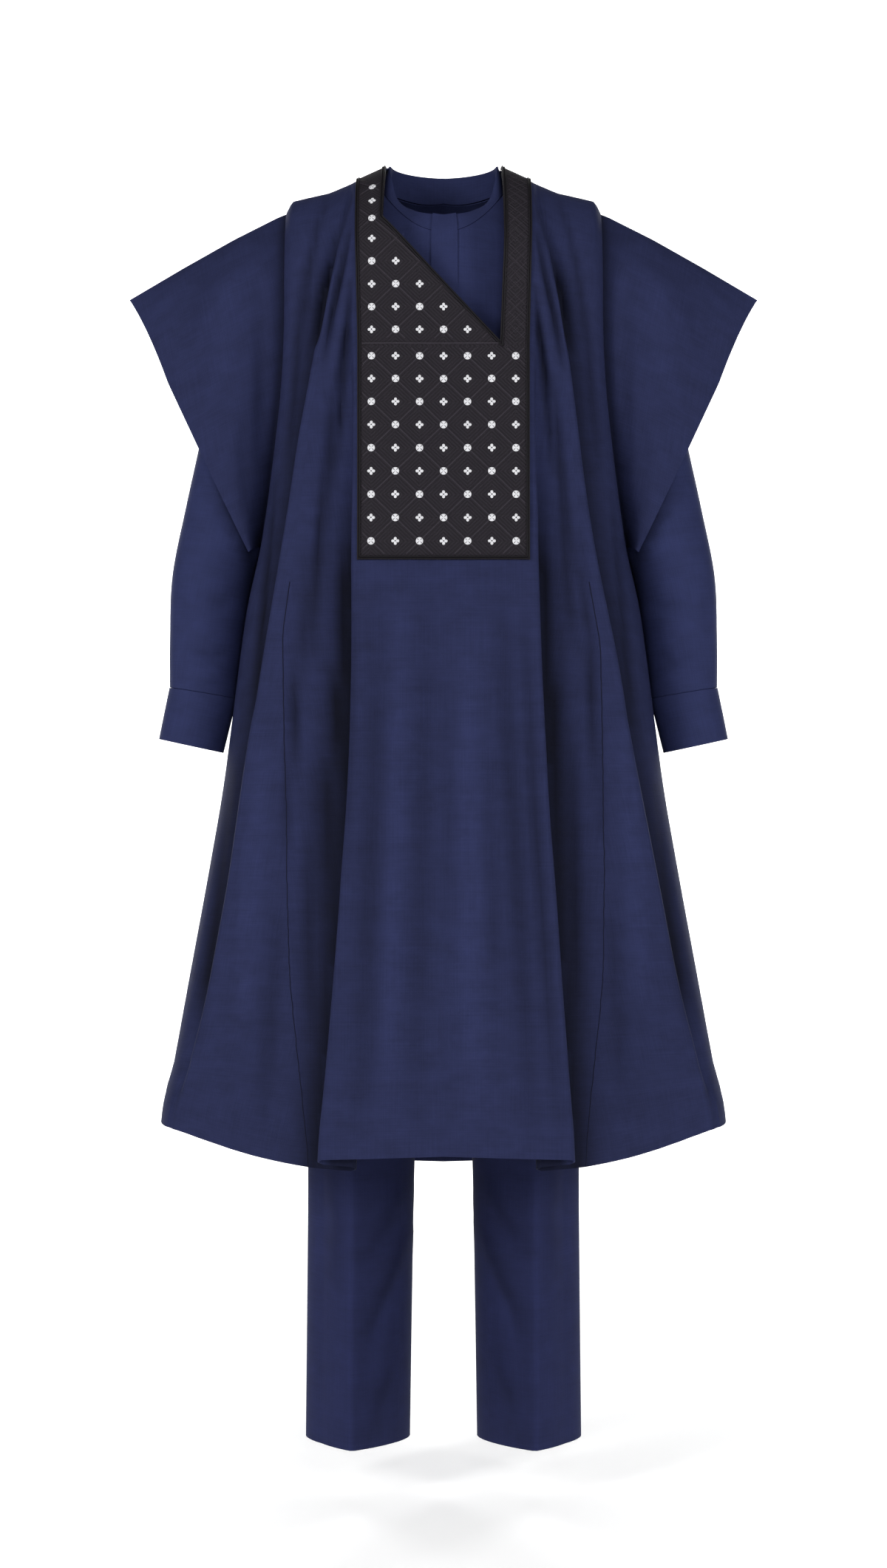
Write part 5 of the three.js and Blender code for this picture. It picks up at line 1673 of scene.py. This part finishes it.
# %% Lattice lines
def place_of(column, row):
    """Front-view place across, and distance down, of a spot in the stitching's grid."""
    x = GRID_LEFT + GRID_COLUMN * np.asarray(column, float)
    row = np.asarray(row, float)
    along = first_row_walk + GRID_ROW * row - np.where(row < UPPER_FROM, UPPER_SHIFT, 0)
    level = np.interp(along, walked, walk_down)
    return x, np.maximum(down_at(x, front_height(STRIP_MIDDLE, level)), 0)


LINE_CLEAR = 5.0
PANEL_INSIDE = [tuple(spot) for spot in beside(YOKE_OUTLINE, LINE_CLEAR)]
NECK_OUTSIDE = [tuple(spot) for spot in beside(NECK_LINE, -LINE_CLEAR)] + [(0, 60)]
LINE_RADIUS = 0.00062
LINE_STARTS = 30
FINE_STRIP_LEFT = 70
LEVEL_LINE = dict(height=-208.5, left=-89.5, right=61.0, step=2.0, radius=0.0008)


def lattice_parts(pitch, radius, keep_spot):
    """Tubes along both diagonals, a pitch of studs apart, wherever the panel has room for them."""
    parts = []
    t = np.arange(-10.0, 18.0, 0.07)
    for lean in (1, -1):
        for start in np.arange(-LINE_STARTS, LINE_STARTS + pitch / 2, pitch):
            x, down = place_of(start + lean * t, t)
            height = front_height(x, down)
            ok = inside(PANEL_INSIDE, x, height) & ~inside(NECK_OUTSIDE, x, height)
            ok &= keep_spot(x, height) & (np.abs(t + 0.5) > 0.1)
            ok &= first_row_walk + GRID_ROW * t > 4 + UPPER_SHIFT
            edges = np.flatnonzero(np.diff(np.concatenate([[0], ok.astype(int), [0]])))
            for low, high in zip(edges[::2], edges[1::2]):
                if high - low >= 4:
                    spot, normal = surface_frame(x[low:high], down[low:high])
                    parts.append(tube(spot + normal * (YOKE_TOP + radius * 0.35), normal, radius, 0.9, 6))
    return parts


def wide_part(x, height):
    """Where the wide lattice goes."""
    return (x < FINE_STRIP_LEFT) | (height < -207)


def fine_part(x, height):
    """Where the fine lattice goes: the strip on the right, down to the notch."""
    return (x > FINE_STRIP_LEFT) & (height > -203)


lines = lattice_parts(2.0, LINE_RADIUS, wide_part) + lattice_parts(0.5, LINE_RADIUS * 0.5, fine_part)
level_x = np.arange(LEVEL_LINE["left"], LEVEL_LINE["right"], LEVEL_LINE["step"])
level_down = down_at(level_x, np.full(len(level_x), LEVEL_LINE["height"]))
spot, normal = surface_frame(level_x, level_down)
lines.append(tube(spot + normal * (YOKE_TOP + 0.0003), normal, LEVEL_LINE["radius"], 0.9, 6))
lattice = ride_plain(mesh_piece("panel_lattice", lines, [line_thread]))
print("lattice lines", len(lines), "faces", len(lattice.data.polygons))

# %% [markdown]
# The studs alternate: a round one crossed by a dark X, and a flower of four petals with a dark
# middle. A round one is a low turned profile. The petals only change how far each ring reaches.

# %% Studs
STUD_RADIUS = 4.1 * MM
STUD_RISE = 1.3 * MM
# Studs in each row, from the notch upward, beside the slanted opening
UPPER_ROWS = (5, 4, 3, 2, 1, 1, 1, 1)
LOWER_ROWS = 9
STUDS_ACROSS = 7
AROUND = 48
# Rings of each stud from the middle out: share of the radius, share of the rise
ROUND_PROFILE = ((0.10, 1.0), (0.55, 1.0), (0.88, 0.85), (1.0, 0.5), (1.0, -0.15))
PETAL_PROFILE = ((0.22, 0.75), (0.45, 1.0), (0.8, 0.85), (1.0, 0.35), (1.0, -0.15))


def stud(spot, normal, petals):
    """Points, faces and material numbers of one stud."""
    side = np.cross(normal, [0, 0, 1.0])
    side /= np.linalg.norm(side)
    up = np.cross(side, normal)
    turn = 2 * math.pi * np.arange(AROUND) / AROUND
    outward = np.cos(turn)[:, None] * side + np.sin(turn)[:, None] * up
    reach = 0.34 + 0.72 * np.abs(np.cos(2 * turn)) ** 0.6 if petals else np.ones(AROUND)
    profile = PETAL_PROFILE if petals else ROUND_PROFILE
    rings = [spot + (STUD_RADIUS * share * reach)[:, None] * outward + normal * STUD_RISE * rise
             for share, rise in profile]
    points = np.concatenate(rings + [spot + normal[None] * STUD_RISE * profile[0][1]])
    faces, slots_used = [], []
    middle = len(points) - 1
    for k in range(AROUND):
        after = (k + 1) % AROUND
        near_cross = abs((k + 0.5) % (AROUND / 4) - AROUND / 8) < 1
        faces.append([middle, k, after])
        slots_used.append(1 if petals else 0)
        for ring in range(len(profile) - 1):
            a = ring * AROUND
            faces.append([a + k, a + AROUND + k, a + AROUND + after, a + after])
            slots_used.append(1 if near_cross and not petals and ring < 2 else 0)
    return points, faces, slots_used


stud_parts = []
for row in range(-len(UPPER_ROWS), LOWER_ROWS):
    columns = np.arange(STUDS_ACROSS if row >= 0 else UPPER_ROWS[-row - 1])
    spots, normals = surface_frame(*place_of(columns, np.full(len(columns), row)))
    for column, spot, normal in zip(columns, spots, normals):
        stud_parts.append(stud(spot + normal * YOKE_TOP, normal, petals=(column + row) % 2 == 1))
studs = ride_plain(mesh_piece("panel_studs", stud_parts, [white_thread, dark_thread]))
print("studs", len(stud_parts), "faces", len(studs.data.polygons))

# %% [markdown]
# ## Band at the back of the neck
# The dark panel goes on over the shoulders as a narrow band behind the neck. Its grid runs from
# the neck hole's edge out to its own curved edge, both drawn on the view and laid on the back.

# %% Back neck band
BAND_ROWS = 14
BAND_END = 98.4
BAND_EDGE = [(0, -44.5), (25, -42.5), (50, -38), (80, -26), (BAND_END, -6)]
BAND_EDGE = [(-x, z) for x, z in BAND_EDGE[:0:-1]] + BAND_EDGE
inner_line = walk_line(BACK_NECK_EDGE[::-1], 1.8)[::-1]
outer_line = spread_along(BAND_EDGE, len(inner_line))
share = np.linspace(0, 1, BAND_ROWS)[:, None, None]
band = inner_line + (outer_line - inner_line) * share
band_x = np.clip(band[..., 0], -BAND_END, BAND_END)
band_down = np.maximum(down_at(band_x, np.minimum(band[..., 1], ridge_height(band_x, 0))), 0.0)
back_band = cloth_wall("back_neck_cloth", on_face("back", band_x, band_down), YOKE_THICKNESS, worked_cloth,
                       flip=True, lift=YOKE_TOP, cut=stitch_place(band_x, band_down))
dress(back_band, ["robe_back_neck_band"])

# %% [markdown]
# ## Floor and light
# A pale seamless sweep stands behind and under the garment. It could be left to the world's plain
# colour, but then nothing would ground the set. Large soft lamps in front, at both sides and
# behind leave hardly any cast shadow, so the folds read by their own shading and by the painted
# shade kept in their hollows.

# %% Studio sweep
FLOOR_HEIGHT = -1.50
SWEEP = dict(front=-7.0, bend_start=5.8, bend_radius=1.4, top=6.5, half_width=6.5)
PAPER = (0.95, 0.95, 0.95, 1)
PAPER_GLOW = 0.36
WORLD_LIGHT = 0.10
bend_angles = np.linspace(0.05, math.pi / 2, 24)
sweep_profile = [(SWEEP["front"], 0.0), (SWEEP["bend_start"], 0.0)]
sweep_profile += [(SWEEP["bend_start"] + SWEEP["bend_radius"] * math.sin(angle),
                   SWEEP["bend_radius"] * (1 - math.cos(angle))) for angle in bend_angles]
sweep_profile.append((SWEEP["bend_start"] + SWEEP["bend_radius"], SWEEP["top"]))
sweep_points = [(x, y, FLOOR_HEIGHT + z) for y, z in sweep_profile
                for x in (-SWEEP["half_width"], SWEEP["half_width"])]
sweep_faces = [(2 * k, 2 * k + 1, 2 * k + 3, 2 * k + 2) for k in range(len(sweep_profile) - 1)]
sweep_mesh = bpy.data.meshes.new("sweep")
sweep_mesh.from_pydata(sweep_points, [], sweep_faces)
sweep_mesh.shade_smooth()
sweep = bpy.data.objects.new("sweep", sweep_mesh)
bpy.context.scene.collection.objects.link(sweep)
paper, paper_shader = new_material("paper")
paper_shader.inputs["Base Color"].default_value = PAPER
paper_shader.inputs["Roughness"].default_value = 0.9
paper_shader.inputs["Emission Color"].default_value = (1, 1, 1, 1)
paper_shader.inputs["Emission Strength"].default_value = PAPER_GLOW
sweep_mesh.materials.append(paper)

world = bpy.data.worlds.new("studio")
world.use_nodes = True
world.node_tree.nodes["Background"].inputs["Color"].default_value = (1, 1, 1, 1)
world.node_tree.nodes["Background"].inputs["Strength"].default_value = WORLD_LIGHT
bpy.context.scene.world = world
bpy.context.scene.view_settings.view_transform = "Standard"
print("sweep", len(sweep_faces), "strips")

# %% Lamps
SET_MIDDLE = (0, 0, -0.7)


def soft_lamp(name, place, aim, size, power):
    """A large lamp that the camera doesn't see."""
    data = bpy.data.lights.new(name, "AREA")
    data.shape = "RECTANGLE"
    data.size, data.size_y = size
    data.energy = power
    lamp = bpy.data.objects.new(name, data)
    lamp.location = place
    lamp.rotation_euler = (Vector(aim) - Vector(place)).to_track_quat("-Z", "Y").to_euler()
    lamp.visible_camera = False
    bpy.context.scene.collection.objects.link(lamp)


soft_lamp("key", (-3.0, -3.0, 0.9), SET_MIDDLE, (1.0, 1.8), 78)
soft_lamp("second", (3.2, -2.8, 0.6), SET_MIDDLE, (1.0, 1.8), 50)
soft_lamp("fill", (0.3, -4.4, 0.6), SET_MIDDLE, (1.0, 1.0), 34)
soft_lamp("top", (0, -0.8, 2.4), (0, 0, -0.4), (1.6, 1.0), 9)
for side, word in SIDES.items():
    soft_lamp(f"sweep_{word}", (side * 2.6, 4.0, 1.4), (side * 0.6, 7.2, -0.9), (1.6, 1.6), 170)
    soft_lamp(f"behind_{word}", (side * 2.0, 3.4, 0.4), SET_MIDDLE, (1.0, 1.4), 45)
